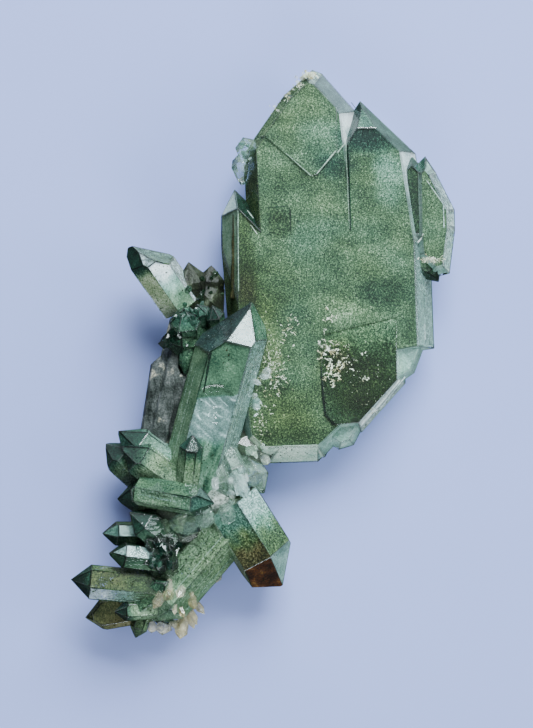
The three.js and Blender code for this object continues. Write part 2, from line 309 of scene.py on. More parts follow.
@cache
def mineral_grains() -> Tree:
    """The group that turns tone, warmth and cover into grains.

    Fine and middling noise make grains, broad noise makes cloudy patches, and the sum with
    the tone is read from four colour ramps that the warmth mixes. The mask is 1 where a
    second noise is below the cover.
    """
    group, entry, result = new_group(
        "Mineral Grains",
        {
            "Scale": 4500.0, "Contrast": 1.0, "Patchiness": 0.3, "Tone": 0.5, "Warmth": 0.5,
            "Cover": 1.0,
        },
        {"Color": "Color", "Mask": "Float", "Height": "Float"},
    )
    given, place = entry.outputs, object_place(group)
    count = partial(math_node, group)

    def grainy(stretch: float, detail: float, other: float = 0.0) -> Socket:
        """Noise at a share of the scale, and another one for each value of other."""
        scale = count("MULTIPLY", given["Scale"], stretch)
        inputs = {"Vector": place, "Scale": scale, "Detail": detail, "Roughness": 0.6, "W": other}
        return add_node(group, "TexNoise", inputs, noise_dimensions="4D").outputs[0]

    middling = count("MULTIPLY", grainy(0.55, 1.0, 3.0), 0.35)
    grain = count("ADD", count("MULTIPLY", grainy(1.0, 1.0), 0.65), middling)
    swing = count("MULTIPLY", count("SUBTRACT", grain, 0.5), given["Contrast"])
    patchy = count("MULTIPLY", count("SUBTRACT", grainy(0.07, 3.0, 6.0), 0.5), given["Patchiness"])
    shade = count("ADD", given["Tone"], count("ADD", swing, patchy), clamp=True)

    def shades(colours: Sequence[Vec]) -> Socket:
        """The colour of the shade."""
        return ramp(group, shade, dict(zip(np.linspace(0.0, 1.0, len(colours)).tolist(), colours)))

    colour = shades(TEAL)
    turns = (("MULTIPLY", -1.0, GREY), ("ADD", 0.0, OLIVE), ("SUBTRACT", 1.0, BROWN))
    for operation, value, colours in turns:
        share = count(operation, given["Warmth"], value, clamp=True)
        colour = mixed(group, share, colour, shades(colours))
    lot = ranged(group, grainy(0.8, 1.0, 9.0), 0.3, 0.7)
    gap = count("SUBTRACT", count("MULTIPLY", given["Cover"], 1.1), lot)
    mask = count("MULTIPLY_ADD", gap, 6.0, 0.5, clamp=True)
    fill(result, {"Color": colour, "Mask": mask, "Height": grain})
    return group


def attribute(tree: Tree, name: str) -> Socket:
    """A value that the mesh carries at its points."""
    return add_node(tree, "Attribute", attribute_name=name).outputs["Fac"]


def dust_shades(
    tree: Tree, scale: float, contrast: float, patchiness: float = 0.3
) -> dict[str, Socket]:
    """Places the group of mineral grains, with the shades that the mesh carries.

    Args:
        tree: the material's tree.
        scale: grains per metre.
        contrast: how far the grains differ.
        patchiness: how cloudy they lie.

    Returns:
        Its Color, Mask and Height.
    """
    carried = {name: attribute(tree, name.lower()) for name in ("Tone", "Warmth", "Cover")}
    inputs = {"Scale": scale, "Contrast": contrast, "Patchiness": patchiness, **carried}
    node = add_node(tree, "Group", inputs, node_tree=mineral_grains())
    return {socket.name: socket for socket in node.outputs}


def new_material(name: str) -> tuple[Material, Tree, Node, Node]:
    """A material whose surface is one Principled shader.

    Args:
        name: the material's name.

    Returns:
        The material, its tree, its shader and its output.
    """
    material = bpy.data.materials.new(name)
    material.use_nodes = True
    tree = material.node_tree
    tree.nodes.clear()
    shader = add_node(tree, "BsdfPrincipled")
    return material, tree, shader, add_node(tree, "OutputMaterial", {"Surface": shader.outputs[0]})


@dataclass(frozen=True)
class DustFinish:
    """The finish of green mineral dust inside the quartz."""

    name: str
    grains_per_metre: float = 5600.0
    contrast: float = 2.0
    patchiness: float = 0.35
    roughness: float = 0.75
    relief: float = 0.00003
    specular: float = 0.2
    open: bool = False

    def material(self) -> Material:
        """Builds the material: grains in the base colour, the bump and, if open, the alpha."""
        material, tree, shader, _ = new_material(self.name)
        grains = dust_shades(tree, self.grains_per_metre, self.contrast, self.patchiness)
        fill(shader, {
            "Base Color": grains["Color"], "Normal": bumped(tree, grains["Height"], self.relief),
            "Roughness": self.roughness, "Specular IOR Level": self.specular,
        })
        if self.open:
            fill(shader, {"Alpha": grains["Mask"]})
        return material


@dataclass(frozen=True)
class QuartzFinish:
    """The finish of clear quartz: plain glass with faint growth lines and frosted patches."""

    name: str
    clear_roughness: float = 0.015
    frosted_roughness: float = 0.09
    transmission: float = 1.0
    body: Vec = (255, 255, 255)
    relief: float = 0.00005
    ior: float = 1.544
    density: float = 80.0
    tint: Vec = (202, 224, 210)
    patches_per_metre: float = 260.0
    lines_per_metre: float = 800.0
    pits_per_metre: float = 1500.0
    tinted: bool = False

    def material(self) -> Material:
        """Builds the material. Lamps shine through it, so that what it holds is lit."""
        material, tree, shader, output = new_material(self.name)
        place = object_place(tree)
        patches = noise(tree, place, self.patches_per_metre, 3.0)
        frost = ranged(tree, patches, 0.52, 0.7, self.clear_roughness, self.frosted_roughness)
        drawn = add_node(tree, "Mapping", {"Vector": place, "Scale": (0.25, 2.2, 1.0)}).outputs[0]
        lines = noise(tree, drawn, self.lines_per_metre, 2.0)
        height = layered(tree, lines, noise(tree, place, self.pits_per_metre, 1.0), 0.25)
        body = dust_shades(tree, 2400.0, 0.6)["Color"] if self.tinted else linear(*self.body)
        fill(shader, {
            "Base Color": body, "Normal": bumped(tree, height, self.relief),
            "Roughness": frost, "Transmission Weight": self.transmission, "IOR": self.ior,
        })
        through = add_node(tree, "BsdfTransparent").outputs[0]
        shadow = add_node(tree, "LightPath").outputs["Is Shadow Ray"]
        both = add_node(tree, "MixShader", {0: shadow, 1: shader.outputs[0], 2: through})
        inside = {"Color": linear(*self.tint), "Density": self.density}
        volume = add_node(tree, "VolumeAbsorption", inside)
        fill(output, {"Surface": both.outputs[0], "Volume": volume.outputs[0]})
        return material


@dataclass(frozen=True)
class VeilFinish:
    """The finish of thin milky veils and of haze: soft, and see-through by its cover."""

    name: str
    grains_per_metre: float = 2600.0
    contrast: float = 0.25
    patchiness: float = 0.25
    roughness: float = 0.6
    specular: float = 0.2

    def material(self) -> Material:
        """Builds the material: soft shades in the base colour, soft cloud in the alpha."""
        material, tree, shader, _ = new_material(self.name)
        grains = dust_shades(tree, self.grains_per_metre, self.contrast, self.patchiness)
        cloud = math_node(tree, "MULTIPLY_ADD", grains["Height"], 2.4, -0.7, clamp=True)
        alpha = math_node(tree, "MULTIPLY", cloud, attribute(tree, "cover"), clamp=True)
        fill(shader, {
            "Base Color": grains["Color"], "Alpha": alpha,
            "Roughness": self.roughness, "Specular IOR Level": self.specular,
        })
        return material


@dataclass(frozen=True)
class RockFinish:
    """The finish of opaque skins: streaks along them, and pale spots."""

    name: str
    shades: tuple[tuple[float, Vec], ...]
    spots: Vec
    streakiness: float = 0.5
    roughness: float = 0.42
    specular: float = 0.5
    streak_turn: float = -14.0
    relief: float = 0.0003

    def material(self) -> Material:
        """Builds the material from noise drawn out along the fragment."""
        material, tree, shader, _ = new_material(self.name)
        place = object_place(tree)
        turn = (0.0, 0.0, math.radians(self.streak_turn))
        inputs = {"Vector": place, "Rotation": turn, "Scale": (1.0, 0.3, 1.0)}
        streaks = noise(tree, add_node(tree, "Mapping", inputs).outputs[0], 1500.0, 6.0)
        broad = noise(tree, place, 420.0, 5.0)
        fine = noise(tree, place, 3800.0, 3.0)
        uneven = math_node(tree, "MULTIPLY_ADD", broad, 0.9, -0.5)
        grainy = math_node(tree, "MULTIPLY_ADD", fine, 0.6, uneven)
        shade = math_node(tree, "MULTIPLY_ADD", streaks, self.streakiness, grainy)
        dots = math_node(tree, "MULTIPLY_ADD", fine, 3.0, -1.0, clamp=True)
        speckled = math_node(tree, "MULTIPLY", ranged(tree, broad, 0.58, 0.64), dots)
        ground = ramp(tree, shade, dict(self.shades))
        fill(shader, {
            "Base Color": mixed(tree, speckled, ground, linear(*self.spots)),
            "Normal": bumped(tree, layered(tree, streaks, fine, 0.4), self.relief, 0.9),
            "Roughness": self.roughness, "Specular IOR Level": self.specular,
        })
        return material


@dataclass(frozen=True)
class CrustFinish:
    """The finish of pale crust: cream to white, with rusty places among it."""

    name: str = "pale_crust"
    grains: bool = True
    roughness: float = 0.8
    relief: float = 0.00004
    shades: tuple[tuple[float, Vec], ...] = (
        (0.2, (140, 128, 88)), (0.34, (176, 176, 136)), (0.7, (206, 214, 186)),
        (1.0, (238, 246, 230)),
    )

    def material(self) -> Material:
        """Builds the material from a fine noise and each grain's own tone or a broad noise."""
        material, tree, shader, _ = new_material(self.name)
        place = object_place(tree)
        fine = noise(tree, place, 5200.0, 3.0)
        if self.grains:
            own = attribute(tree, "tone")
        else:
            own = math_node(tree, "MULTIPLY_ADD", noise(tree, place, 900.0, 2.0), 2.0, -0.75)
        shade = math_node(tree, "MULTIPLY_ADD", fine, 0.5, own)
        fill(shader, {
            "Base Color": ramp(tree, shade, dict(self.shades)), "Roughness": self.roughness,
            "Normal": bumped(tree, fine, self.relief, 0.7),
        })
        return material


class Look(Enum):
    """The finishes of what lies inside the quartz."""

    FELTED = DustFinish("felted_dust")
    LOOSE = DustFinish("loose_dust", grains_per_metre=5200.0, contrast=1.3, open=True)
    CLOUDY = DustFinish("cloudy_dust", grains_per_metre=5200.0, contrast=0.8, patchiness=0.5)
    VEIL = VeilFinish("milky_veil")
    SPARRY = QuartzFinish(
        "tiny_crystals", density=0.0, clear_roughness=0.05, frosted_roughness=0.2,
        transmission=0.72, tinted=True,
    )


class Skin(Enum):
    """The finishes of the specimen's outside."""

    CLEAR = QuartzFinish("clear_quartz")
    FROSTED = QuartzFinish(
        "frosted_quartz", clear_roughness=0.12, frosted_roughness=0.32, transmission=0.8,
        body=(132, 142, 128), relief=0.00012,
    )
    WORN = QuartzFinish(
        "worn_edge", clear_roughness=0.15, frosted_roughness=0.3, transmission=0.9,
        body=(226, 236, 230),
    )
    DULL = QuartzFinish(
        "dull_quartz", clear_roughness=0.06, frosted_roughness=0.4, relief=0.0001,
        patches_per_metre=900.0,
    )
    DIM = QuartzFinish("dim_quartz", ior=1.22, clear_roughness=0.08, frosted_roughness=0.3)
    ROCK = RockFinish(
        "grey_rock",
        (
            (0.25, (24, 30, 28)), (0.42, (58, 65, 61)), (0.56, (88, 94, 91)),
            (0.7, (122, 126, 122)), (0.85, (176, 174, 160)),
        ),
        (206, 202, 176), 0.5, 0.5, 0.25,
    )
    EARTH = RockFinish(
        "brown_rock",
        ((0.2, (12, 14, 9)), (0.4, (38, 44, 31)), (0.56, (60, 70, 52)), (0.8, (98, 110, 86))),
        (112, 122, 100), 0.3, 0.4, 0.3,
    )
    RUST = RockFinish(
        "rust_coat",
        ((0.3, (34, 18, 6)), (0.5, (74, 42, 12)), (0.62, (128, 82, 26)), (0.8, (170, 122, 60))),
        (120, 88, 34), 0.3, 0.6, 0.15,
    )
    CREAM = CrustFinish("cream_skin", grains=False)


@cache
def finish_of(choice: Look | Skin) -> Material:
    """The one material of a finish, made when it is first asked for."""
    return choice.value.material()


@dataclass
class Surface:
    """A mesh in the making: points in drawing millimetres, faces, and values per point."""

    points: Array
    faces: Faces
    values: Values = field(default_factory=dict)
    look: Look = Look.LOOSE

    def shaded(self, values: Values, look: Look) -> "Surface":
        """The same surface with its values and its look."""
        self.values, self.look = values, look
        return self


def tube_faces(rows: int, around: int) -> Faces:
    """Faces of a closed surface of rings, with one pole point before and one after them.

    Args:
        rows: how many rings.
        around: how many points in a ring.

    Returns:
        Quads between the rings and triangles at both poles, facing out where the rings turn
        counter-clockwise about the way from the first pole to the last.
    """
    ring = np.arange(around)
    following = (ring + 1) % around
    low = 1 + around * np.arange(rows - 1)[:, None]
    high = low + around
    quads = np.stack([low + ring, low + following, high + following, high + ring], -1)
    end = 1 + around * (rows - 1)
    first_fan = np.stack([np.zeros_like(ring), 1 + following, 1 + ring], -1)
    last_fan = np.stack([np.full_like(ring, end + around), end + ring, end + following], -1)
    blocks = (quads.reshape(-1, 4), first_fan, last_fan)
    return [tuple(face) for block in blocks for face in block.tolist()]


def closed_surface(rings: Array, first: Array, last: Array) -> Surface:
    """A closed surface from a grid of rings (row, turn, xyz) and its two poles."""
    points = np.concatenate([first[None], rings.reshape(-1, 3), last[None]])
    return Surface(points, tube_faces(*rings.shape[:2]))


def full_turn(count: int) -> Array:
    """Even angles all the way round."""
    return np.linspace(0.0, 2.0 * math.pi, count, endpoint=False)


def ring_tilts(rings: int) -> Array:
    """Angles from +Z of a ball's rings between its poles, lowest ring first."""
    return np.linspace(0.0, math.pi, rings + 2)[1:-1][::-1]


def ball_grid(rings: int, around: int) -> Array:
    """Points of a ball of radius one: sin tilt cos turn, sin tilt sin turn, cos tilt."""
    tilt, turn = ring_tilts(rings), full_turn(around)
    across = [np.outer(np.sin(tilt), np.cos(turn)), np.outer(np.sin(tilt), np.sin(turn))]
    return np.stack([*across, np.outer(np.cos(tilt), np.ones(around))], -1)


def least_reach(room: Array, facing: Array) -> Array:
    """How far spokes get: the least room over facing of the planes that they run towards."""
    with np.errstate(divide="ignore", invalid="ignore"):
        ahead = (facing > NEARLY_NOTHING) & (room > 0.0)
        return np.where(ahead, room / facing, np.inf).min(axis=-1)


def joined(parts: Sequence[Surface]) -> Surface:
    """Several surfaces as one.

    Args:
        parts: surfaces with the same values.

    Returns:
        One surface without a look of its own.
    """
    starts = np.cumsum([0] + [len(part.points) for part in parts]).tolist()
    faces = [
        tuple(start + index for index in face)
        for part, start in zip(parts, starts) for face in part.faces
    ]
    values = {
        name: np.concatenate([part.values[name] for part in parts]) for name in parts[0].values
    }
    return Surface(np.concatenate([part.points for part in parts]), faces, values)


def linked(name: str, data: bpy.types.ID) -> Thing:
    """An object at the origin, linked to the scene."""
    thing = bpy.data.objects.new(name, data)
    bpy.context.scene.collection.objects.link(thing)
    return thing


def to_object(surface: Surface, name: str, smooth: bool = True) -> Thing:
    """A surface as an object at the origin, with its place in its mesh.

    Args:
        surface: what to make.
        name: the piece's name.
        smooth: whether light runs evenly over its faces.

    Returns:
        The object, linked to the scene.
    """
    mesh = bpy.data.meshes.new(name)
    mesh.from_pydata(placed(surface.points).tolist(), [], surface.faces)
    for value_name, values in surface.values.items():
        carried = mesh.attributes.new(value_name, "FLOAT", "POINT")
        carried.data.foreach_set("value", values.astype(np.float32).ravel())
    mesh.polygons.foreach_set("use_smooth", np.full(len(mesh.polygons), smooth))
    mesh.update()
    return linked(name, mesh)


@dataclass(frozen=True)
class Facets:
    """Half-spaces that close in a convex body: inside, normals . place <= offsets."""

    normals: Array
    offsets: Array

    def corners(self) -> Array:
        """The body's corners: every place where three planes meet and no plane cuts off."""
        triples = np.array(list(combinations(range(len(self.offsets)), 3)))
        rows = self.normals[triples]
        clear = np.abs(np.linalg.det(rows)) > NEARLY_NOTHING
        rows, wanted = rows[clear], self.offsets[triples[clear]]
        places = np.linalg.solve(rows, wanted[..., None])[..., 0]
        kept = places[(places @ self.normals.T <= self.offsets + CORNER_TOLERANCE).all(axis=1)]
        return kept[np.unique(np.round(kept, 3), axis=0, return_index=True)[1]]

    def touched(self, corners: Array) -> Array:
        """Whether each corner lies on each plane (corner, plane)."""
        return np.abs(corners @ self.normals.T - self.offsets) < ON_PLANE

    def corners_on(self, number: int) -> Array:
        """The corners of one facet."""
        corners = self.corners()
        return corners[self.touched(corners)[:, number]]

    def worn(self, wear: float) -> "Facets":
        """The same body with a narrow facet along every edge.

        Two planes that share two corners meet in an edge. The new plane's normal is halfway
        between theirs, and it lies a little inside the edge.

        Args:
            wear: how far inside the edge the new facet lies, in millimetres.

        Returns:
            The planes with the new ones behind them.
        """
        corners = self.corners()
        touched = self.touched(corners).astype(int)
        first, second = np.nonzero(np.triu(touched.T @ touched, 1) >= 2)
        normals = unit(self.normals[first] + self.normals[second])
        offsets = (corners @ normals.T).max(axis=0) - wear
        return Facets(np.vstack([self.normals, normals]), np.append(self.offsets, offsets))

    def inset(self, depth: float) -> "Facets":
        """The same body with every plane moved in."""
        return Facets(self.normals, self.offsets - depth)

    def edges(self) -> Array:
        """The two ends of every edge (edge, end, xyz): the corners that two planes share."""
        corners = self.corners()
        touched = self.touched(corners)
        first, second = np.triu_indices(len(self.offsets), 1)
        both = (touched[:, first] & touched[:, second]).T
        return corners[np.nonzero(both[both.sum(axis=1) == 2])[1].reshape(-1, 2)]


def copies(
    one: Surface, places: Array, along: Array, side: Array, other: Array, length: Array,
    width: Array,
) -> Surface:
    """Many copies of one upright shape.

    A point is its copy's place, plus z times along times the length, plus x times side and
    y times other, both times the width.

    Args:
        one: the shape.
        places: where each copy's origin comes to lie.
        along: which way each copy's +Z points.
        side: which way its +X points.
        other: which way its +Y points.
        length: how far each copy is drawn out along +Z.
        width: how wide each copy is.

    Returns:
        One surface without values.
    """
    x, y, z = np.split(one.points[None], 3, axis=-1)
    flat = x * side[:, None] + y * other[:, None]
    points = places[:, None] + z * along[:, None] * length + flat * width
    return Surface(points.reshape(-1, 3), repeated(one.faces, len(one.points), len(places)))


def edge_lines(ends: Array, half_width: float, seed: int) -> Surface:
    """Thin closed tubes of uneven width along edges, from one end to the other.

    Args:
        ends: the two ends of each edge.
        half_width: how thick the tubes are on average, in millimetres.
        seed: which unevenness.

    Returns:
        One surface without values.
    """
    random = np.random.default_rng(seed)
    share, turn = np.meshgrid(np.linspace(0.02, 0.98, 7), full_turn(5), indexing="ij")
    rows = np.stack([np.cos(turn), np.sin(turn), share], -1)
    one = closed_surface(rows, np.zeros(3), UPWARDS)
    along = ends[:, 1] - ends[:, 0]
    side = unit(np.cross(along, ODD_WAY))
    width = half_width * random.uniform(0.3, 1.4, (len(ends), 1, 1))
    return copies(one, ends[:, 0], along, side, unit(np.cross(along, side)), np.ones(1), width)


def repeated(faces: Faces, points: int, times: int) -> Faces:
    """The faces of one surface, repeated for as many copies of its points."""
    return [tuple(points * copy + i for i in face) for copy in range(times) for face in faces]


def hull_object(
    corners: Array, name: str, skin: Skin = Skin.CLEAR, facets: Facets | None = None,
    skins: dict[int, Skin] | None = None,
) -> Thing:
    """The closed convex mesh round a set of corners, with flat faces merged, in its skin.

    Args:
        corners: places in drawing millimetres.
        name: the object's name.
        skin: the finish of its facets.
        facets: its planes; a face that lies on none of them is a worn edge.
        skins: the facets that have another finish, by number.

    Returns:
        The object, linked to the scene.
    """
    skins = skins or {}
    shape = bmesh.new()
    for corner in placed(corners):
        shape.verts.new(corner)
    result = bmesh.ops.convex_hull(shape, input=shape.verts)
    loose = [item for item in result["geom_interior"] if isinstance(item, bmesh.types.BMVert)]
    bmesh.ops.delete(shape, geom=loose, context="VERTS")
    bmesh.ops.dissolve_limit(shape, angle_limit=FLAT_ANGLE, verts=shape.verts, edges=shape.edges)
    bmesh.ops.recalc_face_normals(shape, faces=shape.faces)
    mesh = bpy.data.meshes.new(name)
    shape.to_mesh(mesh)
    shape.free()
    worn = Skin.WORN if skin in (Skin.CLEAR, Skin.FROSTED) else skin
    kinds = list(dict.fromkeys([skin, worn, *skins.values()]))
    for kind in kinds:
        mesh.materials.append(finish_of(kind))
    if facets:
        normals = np.empty(3 * len(mesh.polygons), np.float32)
        mesh.polygons.foreach_get("normal", normals)
        fit = normals.reshape(-1, 3) @ facets.normals.T
        of_facet = np.array([kinds.index(skins.get(i, skin)) for i in range(len(facets.offsets))])
        found = of_facet[fit.argmax(axis=1)]
        index = np.where(fit.max(axis=1) > SAME_WAY, found, kinds.index(worn))
        mesh.polygons.foreach_set("material_index", index.astype(np.int32))
    return linked(name, mesh)


@dataclass(frozen=True)
class Dust:
    """How green mineral dust lies in one crystal, each pair from its root to its tip.

    tone runs from 0, near black, to 1, milky white; warmth from 0, teal, over 1, olive, to 2,
    brown, and below 0 it is grey; cover is the share of the surface that the grains hide. turn
    gives where along the crystal the change starts and ends, inset how far inside the faces the
    dust lies, in millimetres, varied how far the facets differ in tone, and lined how thick the
    dark lines along the edges are.
    """

    tone: Pair
    warmth: Pair
    cover: Pair = (0.7, 1.0)
    turn: Pair = (0.45, 0.85)
    inset: float = 0.16
    varied: float = 0.07
    look: Look = Look.LOOSE
    lined: float = 0.075


class Dusting(Enum):
    """Kinds of crystal on the specimen, by how green they are."""

    DARK_TIP = Dust((0.52, 0.1), (0.62, 0.0), (0.75, 1.0), (0.55, 0.8), varied=0.1)
    BLACK_TIP = Dust((0.56, 0.03), (0.9, 0.3), (0.35, 1.0), (0.74, 0.82))
    LEAF_TIP = Dust((0.7, 0.1), (0.9, 0.1), (0.95, 1.0), (0.6, 0.7))
    DEEP = Dust((0.26, 0.05), (0.5, 0.4), (0.95, 1.0), varied=0.14)
    TEAL = Dust((0.4, 0.2), (0.35, 0.0), (0.9, 1.0), varied=0.16)
    PALE_TEAL = Dust((0.52, 0.26), (0.1, 0.0), (0.9, 1.0), (0.55, 0.85), varied=0.14)
    SAGE = Dust((0.44, 0.36), (0.5, 0.3), (0.72, 0.85), varied=0.12)
    PRISM = Dust(
        (0.64, 0.42), (0.0, 0.5), turn=(0.5, 0.54), inset=0.3, look=Look.CLOUDY, varied=0.04,
    )
    STEM = Dust((0.5, 0.47), (0.6, 0.5), (0.66, 0.74), varied=0.1, lined=0.04)
    OLIVE = Dust((0.66, 0.4), (0.5, 0.8), (0.8, 0.9), (0.2, 0.7))
    MILKY = Dust((0.76, 0.72), (0.2, 0.2), (0.5, 0.4), inset=0.3, look=Look.VEIL, lined=0.03)
    CREAMY = Dust((0.95, 0.9), (1.7, 1.7), (1.0, 0.9), inset=0.3, look=Look.VEIL, lined=0.0)
    SNOWY = Dust((0.97, 0.97), (0.3, 0.3), (1.0, 1.0), inset=0.3, look=Look.VEIL, lined=0.0)
    FROSTY = Dust((0.34, 0.34), (0.7, 0.7), inset=0.4, look=Look.CLOUDY)
    BROWN = Dust((0.44, 0.36), (1.5, 1.3), (0.9, 0.95))
    NONE = None


def between(pair: Pair, share: Array) -> Array:
    """Values that run from the first of a pair to the second."""
    return pair[0] + (pair[1] - pair[0]) * share


def along_shades(dust: Dust, share: Array, points: Array, seed: int) -> Values:
    """Tone, warmth and cover of a dusted layer: root values that run over to tip values.

    Args:
        dust: the layer.
        share: how far along the crystal each point is, 0 at the root and 1 at the tip.
        points: the same points in millimetres.
        seed: which unevenness.

    Returns:
        One value per point for each name.
    """
    cloud = drift(points, 3.5, seed)
    reached = smoothstep(*dust.turn, share + 0.05 * cloud)
    return {
        "tone": between(dust.tone, reached) + 0.07 * cloud,
        "warmth": between(dust.warmth, reached) + 0.1 * drift(points, 5.0, seed + 1),
        "cover": between(dust.cover, reached) + 0.1 * cloud,
    }


@dataclass(frozen=True)
class Stain:
    """Dust under one facet: which facet, its shades, and how far below the facet it lies.

    root holds the tone and warmth at the crystal's root where they differ from those at the tip.
    """

    facet: int
    tone: float
    warmth: float = 0.3
    cover: float = 1.0
    look: Look = Look.LOOSE
    depth: float = 0.14
    root: Pair | None = None


# Common stains: a smooth deeper one, and one with the plate's own grain
cloudy = partial(Stain, look=Look.CLOUDY, depth=0.3)
felted = partial(Stain, look=Look.FELTED)


def facet_layer(
    facets: Facets, number: int, depth: float, around: int = 24, rings: int = 5,
    back_rings: int = 2,
) -> Surface | None:
    """A thin closed layer under one facet of a convex body.

    Each point is the facet's middle plus a direction in the facet times a share of the reach
    in it, and the reach is the least distance to any of the other planes. The layer's front
    runs from the middle to the rim and its back to the middle again.

    Args:
        facets: the body's planes.
        number: which of them.
        depth: how far below the planes it lies, in millimetres.
        around: points in a ring.
        rings: rings on the front side.
        back_rings: rings on the back side.

    Returns:
        The layer, or nothing where the facet is too small for one.
    """
    inner = facets.inset(depth)
    corners = inner.corners_on(number)
    if len(corners) < 3:
        return None
    normal, middle = inner.normals[number], corners.mean(axis=0)
    room = inner.offsets - inner.normals @ middle
    if np.delete(room, number).min() < SMALLEST_ROOM:
        return None
    side = unit(np.cross(normal, ODD_WAY))
    other = np.cross(normal, side)
    towards = corners - middle
    bearings = np.arctan2(towards @ other, towards @ side)
    even = np.linspace(-math.pi, math.pi, around, endpoint=False)
    turn = np.sort(np.concatenate([bearings, even]))[::-1]
    spokes = np.cos(turn)[:, None] * side + np.sin(turn)[:, None] * other
    reach = least_reach(room, spokes @ inner.normals.T)
    front = np.append(np.linspace(0.0, 1.0, rings)[1:] - 0.01, 1.0)
    shares = np.concatenate([front, np.linspace(1.0, 0.0, back_rings + 1)[:-1]])
    sunk = np.concatenate([np.zeros(rings), np.full(back_rings, LAYER_THICKNESS)])
    rows = middle + (shares[:, None] * reach)[..., None] * spokes - sunk[:, None, None] * normal
    return closed_surface(rows, middle, middle - LAYER_THICKNESS * normal)


def stained_facet(facets: Facets, stain: Stain, seed: int, axis: Array) -> list[Surface]:
    """The dusted layer of one stain.

    Args:
        facets: the body's planes.
        stain: which facet has which shades.
        seed: which unevenness.
        axis: the way from root to tip.

    Returns:
        The layer with tone, warmth and cover, or nothing where it has no room.
    """
    surface = facet_layer(facets, stain.facet, stain.depth)
    if surface is None:
        return []
    cloud = drift(surface.points, 1.8, seed)
    tone, warmth = stain.tone, stain.warmth
    if stain.root:
        height = surface.points @ axis
        share = smoothstep(0.25, 0.8, (height - height.min()) / np.ptp(height) + 0.08 * cloud)
        tone = between((stain.root[0], tone), share)
        warmth = between((stain.root[1], warmth), share)
    values = {
        "tone": tone + 0.06 * cloud, "warmth": warmth + 0.1 * cloud,
        "cover": stain.cover + 0.1 * cloud,
    }
    return [surface.shaded(values, stain.look)]


def side(turn: int) -> int:
    """The number of a crystal's side facet, counted in sixths of a turn from its front."""
    return 1 + 2 * turn


def roof(turn: int) -> int:
    """The number of a crystal's roof facet, counted in sixths of a turn from its front."""
    return 2 + 2 * turn


def growth_lines(facets: Facets, number: int, axis: Array, seed: int, count: int = 8) -> Surface:
    """Fine pale and dark lines under one facet, along the crystal.

    Each line runs through a place on the facet's middle line across, and ends where a plane
    cuts it off, less a share.

    Args:
        facets: the crystal's planes.
        number: the facet.
        axis: the crystal's growth direction.
        seed: where the lines lie.
        count: how many.

    Returns:
        The lines with tone, warmth and cover.
    """
    random = np.random.default_rng(seed)
    inner = facets.inset(GROWTH_LINE_DEPTH)
    corners = inner.corners_on(number)
    across = np.cross(inner.normals[number], axis)
    reach = 0.42 * np.ptp(corners @ across)
    places = corners.mean(axis=0) + random.uniform(-reach, reach, (count, 1)) * across
    room = np.maximum(inner.offsets - places @ inner.normals.T, 0.0)
    facing = inner.normals @ axis
    ends = []
    for way in (-1.0, 1.0):
        ahead = way * facing > NEARLY_NOTHING
        length = (room[:, ahead] / np.abs(facing[ahead])).min(axis=1, keepdims=True)
        ends.append(places + way * length * random.uniform(0.3, 0.95, (count, 1)) * axis)
    lines = edge_lines(np.stack(ends, axis=1), GROWTH_LINE_WIDTH, seed)
    draws = {
        "tone": random.choice([0.2, 0.66, 0.76], count), "warmth": random.uniform(-0.2, 0.6, count),
        "cover": random.uniform(0.3, 0.7, count),
    }
    each = len(lines.points) // count
    lines.values = {name: np.repeat(drawn, each) for name, drawn in draws.items()}
    return lines


